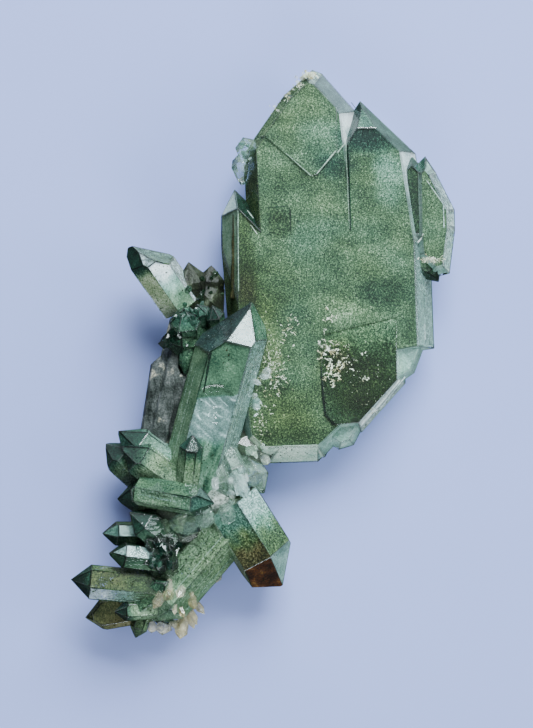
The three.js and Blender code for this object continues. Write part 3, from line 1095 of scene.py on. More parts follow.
@dataclass(frozen=True)
class Crystal:
    """One quartz prism with its six-sided roof.

    Its axis runs from base to tip, and the first of its six sides looks along face. width is
    the size across opposite sides, flat thins it along face, and uneven sets how far its sides
    and roof faces differ from a regular one. sides and roof can give the distances instead.
    bare facets have no dust, and lined ones have growth lines. The light side paints light and
    shade: facets that face along it get a lighter tone, and facets that face away a darker one.
    """

    tip: Vec
    base: Vec
    width: float = 1.0
    seed: int = 1
    dust: Dusting = Dusting.DARK_TIP
    face: Vec = (0.0, 0.0, 1.0)
    flat: float = 1.0
    uneven: float = 0.15
    sides: tuple[float, ...] = ()
    roof: tuple[float, ...] = ()
    wear: float = 0.02
    painted_light_side: Vec = (0.0, 0.0, 0.0)
    stains: tuple[Stain, ...] = ()
    bare: tuple[int, ...] = ()
    lined: tuple[int, ...] = ()
    skin: Skin = Skin.CLEAR
    facet_skins: dict[int, Skin] = field(default_factory=dict)

    @property
    def axis(self) -> Array:
        """The growth direction."""
        return unit(np.subtract(self.tip, self.base))

    def facets(self) -> Facets:
        """The prism's base, its six sides and its six roof faces."""
        lottery = GrowthLottery(self.seed)
        tip, base, axis = np.array(self.tip), np.array(self.base), self.axis
        front = unit(np.array(self.face) - np.dot(self.face, axis) * axis)
        right = np.cross(axis, front)
        slope = math.radians(ROOF_TO_AXIS)
        normals, offsets = [-axis], [-axis @ base]
        for index in range(6):
            turn = math.radians(index * PRISM_STEP)
            outward = front * math.cos(turn) + right * math.sin(turn)
            thinning = self.flat if index % 3 == 0 else 1.0
            grown = self.width / 2 * thinning * (1 + self.uneven * (lottery.draw() - 0.5))
            distance = self.sides[index] if self.sides else grown
            lift = (
                self.roof[index] if self.roof else self.uneven * self.width * lottery.draw() * 0.9
            )
            roof_normal = outward * math.sin(slope) + axis * math.cos(slope)
            normals += [outward, roof_normal]
            offsets += [outward @ base + distance, roof_normal @ (tip + axis * lift)]
        return Facets(np.array(normals), np.array(offsets))

    def solid(self) -> Thing:
        """The clear crystal with worn edges."""
        facets = self.facets()
        corners = facets.worn(self.wear).corners()
        return hull_object(corners, "crystal", self.skin, facets, self.facet_skins)

    def inclusions(self) -> list[Surface]:
        """The stained facets, and dust under all others if the crystal has any."""
        facets, axis, seed = self.facets(), self.axis, self.seed * 7 + len(self.roof)
        layers = []
        for stain in self.stains:
            layers += stained_facet(facets, stain, seed + 1, axis)
        layers += [growth_lines(facets, number, axis, seed + number) for number in self.lined]
        dust = self.dust.value
        if not dust:
            return layers
        chances = np.random.default_rng(seed).uniform(-1.0, 1.0, len(facets.offsets))
        heights = facets.corners() @ axis
        taken = {stain.facet for stain in self.stains} | set(self.bare)
        for number in sorted(set(range(1, len(facets.offsets))) - taken):
            surface = facet_layer(facets, number, dust.inset)
            if surface:
                share = (surface.points @ axis - heights.min()) / np.ptp(heights)
                shades = along_shades(dust, share, surface.points, seed)
                # Painted light and shade: facets facing the light side are lighter, facing away
                # darker
                lighter = facets.normals[number] @ np.array(self.painted_light_side)
                shades["tone"] += chances[number] * dust.varied + lighter
                layers.append(surface.shaded(shades, dust.look))
        if dust.lined:
            lines = edge_lines(facets.inset(EDGE_LINE_DEPTH).edges(), dust.lined, seed)
            share = (lines.points @ axis - heights.min()) / np.ptp(heights)
            lines.values = along_shades(dust, share, lines.points, seed)
            lines.values["tone"] -= 0.3
            lines.values["cover"] = 0.1 + smoothstep(0.3, 0.8, share)
            layers.append(lines)
        return layers


@dataclass(frozen=True)
class Tablet:
    """One tabular crystal of the plate.

    outline lists the corners of its front face clockwise, its sides fall away from that edge
    at bevel on the front and on the back, bevels gives single edges another angle, and lean
    tilts the front face as dz/dx and dz/dy about the outline's first corner. stains are the
    slopes whose dust isn't pale.
    """

    outline: tuple[Pair, ...]
    front: float = PLATE_FRONT
    back: float = REAR_FACE
    bevel: float = PRISM_TO_SIDE_ROOF
    bevels: dict[int, float] = field(default_factory=dict)
    lean: Pair = (0.0, 0.0)
    stains: tuple[Stain, ...] = ()
    wear: float = 0.03
    facet_skins: dict[int, Skin] = field(default_factory=dict)

    def edges(self) -> tuple[Array, Array]:
        """The outline's corners and the outward direction of the edge after each."""
        corners = np.array(self.outline)
        step = np.roll(corners, -1, axis=0) - corners
        return corners, unit(np.stack([-step[:, 1], step[:, 0]], -1))

    def facets(self) -> Facets:
        """The front, the back, and two slopes along each edge."""
        corners, outward = self.edges()
        angles = np.radians([self.bevels.get(i, self.bevel) for i in range(len(corners))])
        flat, rise = np.sin(angles)[:, None] * outward, np.cos(angles)[:, None]
        lean = unit(np.array([-self.lean[0], -self.lean[1], 1.0]))
        normals = np.vstack([lean, [0, 0, -1], np.hstack([flat, rise]), np.hstack([flat, -rise])])
        levels = (self.front, self.back)
        faces = [[*corners[0], level] for level in levels]
        edges = [np.column_stack([corners, np.full(len(corners), level)]) for level in levels]
        return Facets(normals, (normals * np.vstack([faces, *edges])).sum(axis=1))

    def solid(self) -> Thing:
        """The clear crystal with worn edges."""
        facets = self.facets()
        corners = facets.worn(self.wear).corners()
        return hull_object(corners, "tablet", Skin.CLEAR, facets, self.facet_skins)

    def sheet(self, depth: float, inset: float) -> Surface:
        """A thin closed layer under the front face.

        Each point is the outline's middle plus a direction times a share of the reach in it,
        and the reach is the least distance to any edge. The front of the layer runs from the
        middle to the rim and its back from the rim to the middle again, closer to the front
        the nearer it is to the rim.

        Args:
            depth: how far the layer lies below the front face.
            inset: how far inside the outline it ends.

        Returns:
            The layer, without values.
        """
        corners, outward = self.edges()
        middle = corners.mean(axis=0)
        turn = np.linspace(2.0 * math.pi, 0.0, 240, endpoint=False)
        spokes = np.stack([np.cos(turn), np.sin(turn)], -1)
        reach = least_reach(((corners - middle) * outward).sum(axis=1) - inset, spokes @ outward.T)
        front_share = np.append(np.linspace(0.0, 0.998, 24)[1:] ** 0.8, 1.0)
        back_share = np.linspace(1.0, 0.0, 6)[:-1]
        shares = np.concatenate([front_share, back_share])
        flat = middle + (shares[:, None] * reach)[..., None] * spokes
        level = self.front + (flat - corners[0]) @ np.array(self.lean) - depth
        thickness = SHEET_THICKNESS * (1.0 - back_share**5) + 0.05
        below = np.concatenate([np.zeros(len(front_share)), thickness])
        bumps = SHEET_RELIEF * drift(np.dstack([flat, np.zeros(flat.shape[:2])]), 2.5, 202)
        points = np.dstack([flat, level - below[:, None] - np.abs(bumps)])
        top, bottom = (np.append(middle, ring[:, 2].mean()) for ring in (points[0], points[-1]))
        return closed_surface(points, top, bottom)


@dataclass(frozen=True)
class Lump:
    """A broken lump of massive quartz: the hull of points scattered on a stretched ball."""

    at: Vec
    size: Vec
    seed: int
    dust: Dusting = Dusting.SAGE
    skin: Skin = Skin.CLEAR
    count: int = 16
    core_share: float = 0.62

    def solid(self) -> Thing:
        """The clear lump."""
        lottery = GrowthLottery(self.seed)
        draws = np.array([[lottery.draw(), lottery.draw()] for _ in range(self.count)])
        index = np.arange(self.count)
        height = 1.0 - (2.0 * index + 1.0) / self.count
        ring = np.sqrt(1.0 - height * height)
        turn = index * 2.4 + 0.8 * (draws[:, 0] - 0.5)
        ball = np.stack([ring * np.cos(turn), ring * np.sin(turn), height], -1)
        ball = ball * (0.86 + 0.14 * draws[:, 1:])
        return hull_object(np.array(self.at) + ball * np.array(self.size) / 2, "lump", self.skin)

    def inclusions(self) -> list[Surface]:
        """A dusted ball inside it: the middle plus a direction times an uneven reach."""
        if self.dust is Dusting.NONE:
            return []
        dust, at, ball = self.dust.value, np.array(self.at), ball_grid(24, 40)
        inner = np.array(self.size) / 2 * self.core_share
        uneven = 1.0 + 0.1 * drift(at + ball * inner, 2.4, self.seed)
        rings = at + ball * inner * uneven[..., None]
        surface = closed_surface(rings, at - inner * UPWARDS, at + inner * UPWARDS)
        share = np.full(len(surface.points), 0.3)
        return [surface.shaded(along_shades(dust, share, surface.points, self.seed), dust.look)]


@dataclass(frozen=True)
class Slot:
    """A box-shaped cut, turned about +Z."""

    at: Vec
    size: Vec
    turn: float

    def solid(self) -> Thing:
        """The box."""
        flat = np.array(list(product((-1, 1), repeat=3))) * np.array(self.size) / 2
        cos, sin = math.cos(math.radians(self.turn)), math.sin(math.radians(self.turn))
        turned = flat @ np.array([[cos, sin, 0], [-sin, cos, 0], [0, 0, 1]])
        return hull_object(np.array(self.at) + turned, "slot")


Bodies = tuple[Crystal | Lump, ...]


@dataclass
class Cluster:
    """Crystals and lumps that grew together: the clear bodies and the green dust in them."""

    name: str = "cluster"
    bodies: Bodies = ()

    def solids(self) -> list[Thing]:
        """The clear bodies, one object each."""
        return [body.solid() for body in self.bodies]

    def extra_layers(self) -> list[Surface]:
        """Layers that belong to no single body."""
        return []

    def dress(self) -> None:
        """Makes the dusted layers of all bodies, one piece for each look."""
        layers = [layer for body in self.bodies for layer in body.inclusions()]
        dress_layers(self.name, layers + self.extra_layers())


def dress_layers(name: str, layers: Sequence[Surface]) -> None:
    """Makes one piece of all layers with the same look.

    Args:
        name: how the pieces' names start.
        layers: the layers, of any look.
    """
    for look in Look:
        alike = [layer for layer in layers if layer.look is look]
        if alike:
            dress_piece(to_object(joined(alike), f"{name}_{look.name.lower()}"), finish_of(look))


def dress_piece(piece: Thing, finish: Material) -> None:
    """Gives a piece its material and slot and lets it ride on the specimen's one body.

    Args:
        piece: what is dressed.
        finish: its material.
    """
    piece.data.materials.append(finish)
    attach(piece, "root")
    log.info("%s: %d faces", piece.name, len(piece.data.polygons))


@dataclass(frozen=True)
class LineOfDustAndLight:
    """A fine line just under a face, along an edge of a growth layer, a groove, a rim or a crack.

    The pale lines are painted highlights where edges and rims catch the light. The dark ones are
    dust along the crack and the steps, and painted shade on the unlit walls of the groove and
    the hollow.

    A flat ring of points, long across the line and low, is carried along the path.
    """

    path: tuple[Pair, ...]
    width: Pair
    tone: float
    warmth: float = 0.3
    level: float | Pair = PLATE_FRONT - 0.24
    cover: float = 0.95
    half_height: float = 0.03
    rows: int = 60
    around: int = 8

    def ribbon(self) -> Surface:
        """The line as a closed surface whose width swells and shrinks along it."""
        corners = np.array(self.path)
        lengths = np.append(0.0, np.cumsum(np.linalg.norm(np.diff(corners, axis=0), axis=1)))
        run = np.linspace(0.0, lengths[-1], self.rows)
        line = np.stack([np.interp(run, lengths, corners[:, i]) for i in range(2)], -1)
        heading = unit(np.gradient(line, axis=0))
        across = np.column_stack([heading[:, 1], -heading[:, 0], np.zeros(self.rows)])
        middle = np.column_stack([line, np.linspace(*np.broadcast_to(self.level, 2), self.rows)])
        turn = full_turn(self.around)[None, :, None]
        width = np.linspace(*self.width, self.rows) * (1.0 + 0.35 * drift(middle, 1.5, 31))
        spread = np.cos(turn) * across[:, None] * (0.5 * width[:, None, None])
        rings = middle[:, None] + spread + np.sin(turn) * (self.half_height * UPWARDS)
        surface = closed_surface(rings, middle[0], middle[-1])
        for name in ("tone", "warmth", "cover"):
            surface.values[name] = np.full(len(surface.points), getattr(self, name))
        return surface


@dataclass
class FrontPrism(Cluster):
    """The steep prism in front of the plate, with a rippled shell-shaped break on its front."""

    name: str = "prism"
    bodies: Bodies = (
        Crystal(
            (-2.1, 6.3, 12.9), (-9.6, -20.9, 6.9), 9.0, dust=Dusting.PRISM, face=(0.08, 0.0, 1.0),
            sides=(3.8, 3.2, 3.4, 3.8, 5.6, 5.6), roof=(0.0, 0.2, 2.0, 2.4, 1.5, 0.0), wear=0.035,
            painted_light_side=(0.07, 0.0, 0.0), bare=(side(0),), lined=(side(5), side(1), roof(5)),
            facet_skins={roof(0): Skin.DULL},
            stains=(
                Stain(roof(0), 0.6, -0.4), Stain(roof(5), 0.1, -0.5), Stain(roof(1), 0.34, 0.3),
                Stain(side(5), 0.42, 0.5, 1.0, Look.CLOUDY, 0.2, (0.5, 0.5)),
                Stain(side(1), 0.7, -0.1, 0.8, Look.VEIL, 0.2),
            ),
        ),
    )
    scoop_at: Vec = (-7.0, -9.4, 20.6)
    scoop_size: Vec = (7.2, 7.6, 8.0)
    scoop_rings: int = 88
    ripple_height: float = 0.07
    ripple_length: float = 0.85
    break_top: float = -6.2
    rib_middle: Pair = (-1.4, -2.2)
    rib_step: float = 1.05
    crack: tuple[Pair, ...] = ((-7.75, -0.2), (-8.8, -6.0))
    crack_depth: float = 0.14
    coat_depth: float = 0.2
    coat_gap: float = 0.1
    green_tone: float = 0.38
    broken_tone: float = 0.54
    drawn_tone: float = 0.47
    drawn_from: Pair = (12.4, 14.6)
    painted_sheen_at: Pair = (-5.2, -2.4)
    painted_sheen_reach: Pair = (1.0, 1.3)

    def scoop(self) -> Thing:
        """The cut of the break: a ball whose reach swells and shrinks in rings below its middle."""
        at, size = np.array(self.scoop_at), np.array(self.scoop_size)
        away = np.pi - ring_tilts(self.scoop_rings)
        waves = np.sin(away * size[2] * 2.0 * math.pi / self.ripple_length)
        reach = 1.0 + (self.ripple_height / size[2]) * waves
        rings = at + ball_grid(self.scoop_rings, 96) * reach[:, None, None] * size
        body = closed_surface(rings, at - size * UPWARDS, at + size * UPWARDS)
        cut = to_object(body, "scoop", smooth=False)
        cut.data.materials.append(finish_of(Skin.CLEAR))
        return cut

    def extra_layers(self) -> list[Surface]:
        """The coat under the front face, which dips below the break, and a crack in the face.

        Above the break the coat is green, with a lighter patch that is a painted soft highlight.
        From there down it is pale, with white ribs, painted highlights of the break's ripples, that
        run round a place beyond the break's corner, and lower down it is drawn out in streaks
        along the crystal.
        """
        facets = self.bodies[0].facets()
        coat = facet_layer(facets, side(0), self.coat_depth, 240, 70, 70)
        x, y, z = coat.points.T
        across = (coat.points[:, :2] - self.scoop_at[:2]) / self.scoop_size[:2]
        dip = np.sqrt(np.clip(1.0 - (across**2).sum(axis=1), 0.0, 1.0))
        bowl = self.scoop_at[2] - self.scoop_size[2] * dip
        under = bowl - self.coat_gap
        coat.points[:, 2] = np.where(z < under, z, under - 0.05 * (bowl - z))
        cloud = drift(coat.points, 2.6, 3)
        drawn_out = np.array([[1.0, 0.0, 0.0], [-0.26, 0.15, 0.0], [0.0, 0.0, 0.2]])
        streaks = drift(coat.points @ drawn_out, 0.7, 4)
        top = -self.break_top
        below = smoothstep(top - 0.1, top + 0.25, 0.05 * x - y + 0.25 * cloud)
        lower = smoothstep(*self.drawn_from, -y + 0.8 * cloud)
        away = np.hypot(x - self.rib_middle[0], y - self.rib_middle[1])
        wander = 1.2 * cloud + 0.9 * drift(coat.points, 5.0, 6)
        # White ribs: painted highlights where the break's ripples catch the light
        ribs = np.abs(np.sin(away * math.pi / self.rib_step + wander)) ** 14
        shown = 0.32 * ribs * smoothstep(-0.5, 0.6, drift(coat.points, 1.9, 7))
        broken = self.broken_tone + shown + 0.1 * cloud
        drawn = self.drawn_tone + 0.2 * streaks + 0.05 * cloud
        # A lighter patch on the green above the break: a painted soft highlight
        painted_sheen = np.exp(-(((coat.points[:, :2] - self.painted_sheen_at) / self.painted_sheen_reach) ** 2).sum(axis=1))
        green = self.green_tone + 0.05 * cloud + 0.16 * painted_sheen
        shades = {
            "tone": green + below * (broken + lower * (drawn - broken) - green),
            "warmth": 0.35 - below * (0.8 - 0.7 * lower),
            "cover": np.ones(len(x)),
        }
        normal, offset = facets.normals[side(0)], facets.offsets[side(0)]
        levels = (offset - np.array(self.crack) @ normal[:2]) / normal[2] - self.crack_depth
        crack = LineOfDustAndLight(self.crack, (0.34, 0.26), 0.04, 0.2, tuple(levels.tolist()))
        return [coat.shaded(shades, Look.CLOUDY), crack.ribbon()]


@dataclass
class UpperLeftCluster(Cluster):
    """Crystals and lumps between the prism and the plate's left edge."""

    name: str = "upper_left"
    bodies: Bodies = (
        Crystal(
            (-20.1, 15.2, 10.0), (-13.6, 5.8, 6.8), dust=Dusting.LEAF_TIP, face=(0.14, 0.1, 1.0),
            sides=(3.0, 4.3, 4.3, 2.6, 1.4, 1.3), roof=(0.5, 0.6, 1.2, 1.8, 0.8, -1.1),
            stains=(
                Stain(roof(0), 0.8, -0.6, 0.7, Look.VEIL),
                Stain(roof(5), 0.12, 0.1, 1.0, Look.CLOUDY),
                Stain(roof(1), 0.6, -0.3, 0.6, Look.VEIL),
                # side(0) and side(1) are pale grey partly as painted light, where the faces are lit
                Stain(side(0), 0.9, -0.7, 1.0, Look.CLOUDY, root=(0.56, 0.4)),
                Stain(side(1), 0.85, -0.6, 0.7, Look.VEIL),
            ),
        ),
        Crystal((-11.8, 6.2, 12.5), (-11.1, 2.0, 7.0), 4.2, 6, Dusting.TEAL),
        Crystal((-15.3, 1.6, 10.0), (-9.2, 2.0, 7.6), 4.4, 7, Dusting.DEEP, skin=Skin.DIM),
        Crystal((-10.0, 6.9, 11.4), (-8.0, 3.0, 7.0), 2.6, 8, Dusting.PALE_TEAL),
        Crystal((-7.6, 6.6, 11.2), (-7.0, 2.0, 7.0), 2.8, 9, Dusting.TEAL),
        Crystal((-9.6, 1.4, 11.6), (-7.0, -1.5, 8.0), 3.0, 10, Dusting.TEAL),
        Crystal((-11.3, 13.2, 7.4), (-9.7, 5.1, 5.0), 4.6, 11, Dusting.NONE, skin=Skin.EARTH),
        Crystal((-7.8, 12.9, 6.4), (-8.5, 5.1, 5.0), 3.6, 12, Dusting.NONE, skin=Skin.EARTH),
        Lump((-9.2, 7.5, 5.6), (7.5, 10.0, 7.0), 13, Dusting.NONE, Skin.EARTH),
    )


@dataclass
class Trunk(Cluster):
    """The long grey fragment beside the prism."""

    name: str = "trunk"
    bodies: Bodies = (
        Crystal(
            (-11.4, 6.6, 6.6), (-16.6, -14.4, 6.2), 4.2, 21, Dusting.NONE, (0.2, 0.0, 1.0),
            skin=Skin.ROCK,
        ),
        Crystal(
            (-15.3, -0.4, 6.6), (-17.2, -12.6, 6.4), 3.0, 22, Dusting.NONE, (-0.3, 0.0, 1.0),
            skin=Skin.ROCK,
        ),
        Lump((-12.2, -8.0, 5.2), (7.0, 22.0, 9.0), 23, Dusting.NONE, Skin.ROCK),
        Lump((-11.5, -0.6, 8.8), (3.4, 9.0, 3.6), 24, Dusting.DEEP, Skin.DIM),
    )


@dataclass
class LeftSpray(Cluster):
    """The spray of small crystals on the stalk's left side."""

    name: str = "left_spray"
    bodies: Bodies = (
        Crystal(
            (-21.6, -12.1, 8.6), (-12.5, -18.9, 7.0), 5.4, 41, Dusting.PALE_TEAL, (0.2, 0.4, 1.0),
        ),
        Crystal(
            (-20.8, -14.3, 11.2), (-13.2, -19.6, 9.0), 4.8, 42, Dusting.DARK_TIP, (0.2, 0.3, 1.0),
        ),
        Crystal(
            (-23.8, -13.9, 6.4), (-16.4, -20.7, 6.0), 4.6, 43, Dusting.DARK_TIP, (0.0, 0.3, 1.0),
        ),
        Crystal(
            (-10.5, -12.4, 13.2), (-11.6, -21.8, 11.0), 3.1, 44, Dusting.DARK_TIP, (0.1, 0.0, 1.0),
            facet_skins={roof(0): Skin.DIM},
        ),
        Crystal(
            (-7.6, -22.3, 14.2), (-18.6, -20.6, 10.9), 4.2, 45, Dusting.SAGE, (0.0, 1.2, 1.0),
            lined=(side(1), side(2)),
            stains=(
                Stain(side(0), 0.32, 0.4), Stain(roof(0), 0.3, -0.2), Stain(roof(1), 0.24, -0.1),
                Stain(roof(2), 0.12, 0.0),
            ),
        ),
        Crystal(
            (-21.8, -22.2, 8.6), (-14.3, -21.3, 8.0), 4.4, 46, Dusting.DARK_TIP, (0.0, 0.2, 1.0),
        ),
        # Pale grey stains under side(0) and roof(0) of these two: painted highlights on dim faces
        Crystal(
            (-24.0, -27.2, 9.2), (-16.3, -27.5, 7.8), 3.4, 47, Dusting.DEEP, (0.0, 0.4, 1.0),
            facet_skins={side(5): Skin.DIM, roof(5): Skin.DIM, side(0): Skin.DIM},
            stains=(Stain(side(0), 0.56, -0.3), Stain(roof(0), 0.4, -0.2)),
        ),
        Crystal(
            (-22.9, -29.9, 11.0), (-15.5, -31.0, 9.0), 3.6, 48, Dusting.DEEP, (0.0, 0.5, 1.0),
            facet_skins={side(5): Skin.DIM, roof(5): Skin.DIM, side(0): Skin.DIM},
            stains=(Stain(side(0), 0.7, -0.4), Stain(roof(0), 0.6, -0.4)),
        ),
        Crystal((-19.8, -23.8, 11.4), (-14.0, -28.7, 8.6), 4.4, 49, Dusting.TEAL, (0.1, 0.5, 1.0)),
    )


DARK_KNOT_ROOT: Vec = (-14.6, -30.4, 6.0)
DARK_KNOT_TIPS = (
    (-17.0, -28.0, 12.2, 2.2), (-15.6, -27.4, 12.8, 1.9), (-14.1, -28.3, 12.6, 2.1),
    (-16.2, -30.1, 12.9, 2.2), (-14.2, -30.4, 12.9, 2.4), (-17.6, -31.4, 11.6, 1.8),
    (-15.6, -32.3, 12.0, 2.0), (-13.4, -32.0, 11.4, 1.8),
)


@dataclass
class DarkKnot(Cluster):
    """The dark knot of very small crystals on the lower stalk."""

    name: str = "dark_knot"
    bodies: Bodies = tuple(
        Crystal(tip[:3], DARK_KNOT_ROOT, tip[3], 60 + index, Dusting.DEEP, uneven=0.3, wear=0.03)
        for index, tip in enumerate(DARK_KNOT_TIPS)
    )


@dataclass
class LowerStalk(Cluster):
    """The stalk's lower end: the stem, and crystals that point left, down and right."""

    name: str = "lower_stalk"
    bodies: Bodies = (
        Crystal(
            (-17.6, -40.6, 5.6), (-2.4, -23.0, 6.8), 7.2, 71, Dusting.STEM, (-0.2, 0.2, 1.0),
            lined=(side(0), side(5)),
        ),
        Crystal(
            (-28.7, -34.0, 9.4), (-14.7, -35.6, 7.6), 4.6, 72, Dusting.BLACK_TIP, (0.0, 0.35, 1.0),
            lined=(side(5),),
            stains=(
                Stain(roof(0), 0.04, 0.2), Stain(roof(5), 0.06, 0.3), Stain(roof(1), 0.1, 0.3),
                Stain(side(5), 0.86, -0.7, 0.9, Look.VEIL, root=(0.46, 0.7)),
                Stain(side(0), 0.3, 1.2, 0.7, root=(0.2, 0.9)),
            ),
            facet_skins={roof(0): Skin.DIM, roof(1): Skin.DIM, roof(5): Skin.DIM},
        ),
        Crystal((-27.0, -40.2, 5.2), (-17.0, -38.5, 5.0), 4.4, 73, Dusting.BROWN, flat=0.6),
        Crystal((-22.2, -38.8, 9.0), (-16.2, -38.6, 7.0), 2.8, 74),
        Crystal((-19.4, -43.2, 6.4), (-17.2, -36.4, 6.0), 2.4, 75, Dusting.OLIVE),
        Crystal((-14.2, -34.2, 10.2), (-19.6, -38.4, 8.4), 2.6, 76, Dusting.SAGE, flat=0.5),
        Crystal(
            (2.7, -35.0, 6.0), (-5.2, -22.3, 7.8), 8.4, 77, Dusting.OLIVE, (-0.27, -0.17, 0.95),
            uneven=0.05, roof=(0.0, 3.5, 1.5, 1.0, 0.5, 0.0),
            stains=(
                felted(side(0), 0.24, 1.5, root=(0.38, -0.1)),
                felted(side(5), 0.26, 0.8, root=(0.6, -0.3)),
                Stain(roof(5), 0.62, -0.3, 1.0, Look.CLOUDY),
            ),
            facet_skins={roof(0): Skin.RUST, side(5): Skin.DIM},
        ),
        Lump((-14.6, -37.4, 4.2), (9.6, 10.4, 8.0), 78),
        Lump((-8.6, -32.4, 4.4), (7.0, 7.4, 7.0), 79),
    )


CHIPS = (
    (-11.4, -38.0, 4.6, 3.0), (-12.0, -40.0, 4.0, 3.2), (-13.4, -41.2, 4.8, 3.0),
    (-15.4, -41.8, 4.2, 3.2), (-17.2, -41.8, 4.4, 2.6), (-11.2, -36.2, 6.0, 2.8),
    (-6.6, -32.0, 4.8, 2.8), (-7.6, -34.0, 4.2, 2.8), (-9.6, -34.8, 4.0, 2.6),
)


@dataclass
class BrokenChips(Cluster):
    """Broken clear chips along the stalk's lower edge."""

    name: str = "chips"
    bodies: Bodies = tuple(
        Lump((x, y, z), (size, size * 0.9, size * 1.3), 120 + index, Dusting.CREAMY, count=10)
        for index, (x, y, z, size) in enumerate(CHIPS)
    )


@dataclass
class BackSpray(Cluster):
    """Crystals of the hidden side, which point left, down and back."""

    name: str = "back_spray"
    bodies: Bodies = (
        Crystal((-19.6, -14.4, 2.4), (-12.4, -16.8, 5.0), 4.0, 101, face=(0, 0.2, -1)),
        Crystal((-20.8, -29.2, 3.2), (-13.4, -28.4, 5.4), 4.2, 102, face=(0, 0.3, -1)),
        Crystal((-24.2, -36.2, 3.0), (-15.4, -35.2, 5.0), 3.8, 103, face=(0, 0.2, -1)),
        Crystal((-17.8, -22.0, 2.6), (-11.0, -23.4, 5.4), 3.8, 104, face=(0, 0.2, -1)),
        Crystal((-6.0, -31.0, 2.6), (-8.0, -21.4, 5.0), 4.4, 105, face=(0.2, 0, -1)),
        Crystal((-9.4, 3.0, 2.6), (-10.8, -12.0, 4.6), 4.6, 106, face=(-0.2, 0, -1)),
        Crystal((-14.6, -0.6, 2.8), (-10.8, -6.0, 4.8), 3.2, 107, face=(-0.2, 0, -1)),
    )


@dataclass
class Junction(Cluster):
    """Small clear crystals where stem, prism and plate meet, and the junction itself."""

    name: str = "junction"
    bodies: Bodies = (
        Crystal((-3.1, -19.9, 12.4), (-6.6, -13.5, 7.4), 3.6, 81, Dusting.MILKY, (0.3, 0.0, 1.0)),
        Crystal((-5.2, -21.4, 12.6), (-6.8, -15.4, 8.4), 3.0, 82, Dusting.MILKY, (-0.2, 0.0, 1.0)),
        Crystal((-0.2, -21.2, 7.6), (-3.6, -15.9, 6.0), 4.2, 83, Dusting.MILKY),
        Lump((-2.6, -14.6, 5.4), (8.4, 9.0, 8.0), 84, Dusting.FROSTY, Skin.FROSTED),
        Lump((-6.5, -20.5, 7.0), (9.0, 10.0, 10.0), 85, Dusting.FROSTY, Skin.FROSTED),
        Lump((-12.5, -24.5, 7.0), (12.0, 12.0, 10.4), 86, Dusting.MILKY, Skin.FROSTED),
        Lump((-6.5, -22.0, 9.8), (6.4, 5.2, 5.8), 88, Dusting.SNOWY),
        Lump((-5.2, -23.8, 11.0), (4.6, 5.0, 4.2), 89, Dusting.MILKY),
        Lump((-11.7, -25.4, 10.8), (6.0, 4.4, 4.6), 90, Dusting.MILKY),
        Lump((-8.8, -24.7, 10.8), (4.6, 4.0, 4.2), 91, Dusting.MILKY),
        Lump((-15.0, -31.5, 6.4), (10.0, 10.0, 10.0), 87),
    )


@dataclass
class RoughEnds(Cluster):
    """Rough growth behind the left spire's edge and the broken tip above it."""

    name: str = "rough_ends"
    bodies: Bodies = (
        Lump((-3.0, 27.8, 4.6), (4.6, 5.2, 5.0), 3, Dusting.MILKY),
        Lump((-2.2, 30.6, 4.8), (4.6, 4.4, 5.4), 4, Dusting.MILKY),
        Lump((7.0, 41.5, 4.8), (3.6, 2.2, 5.2), 5, Dusting.NONE, Skin.CREAM),
        Crystal((26.2, 10.6, 6.5), (23.5, 14.5, 6.0), 3.4, 31, Dusting.DEEP),
    )


@dataclass(frozen=True)
class Cloud:
    """A soft patch of the plate's dust that is lighter, darker, warmer or cooler.

    The pale grey patch at (18.8, 26.0) is not dust but a painted reflection, a sheen on the face.
    """

    at: Pair
    reach: Pair
    tone: float
    warmth: float = 0.0


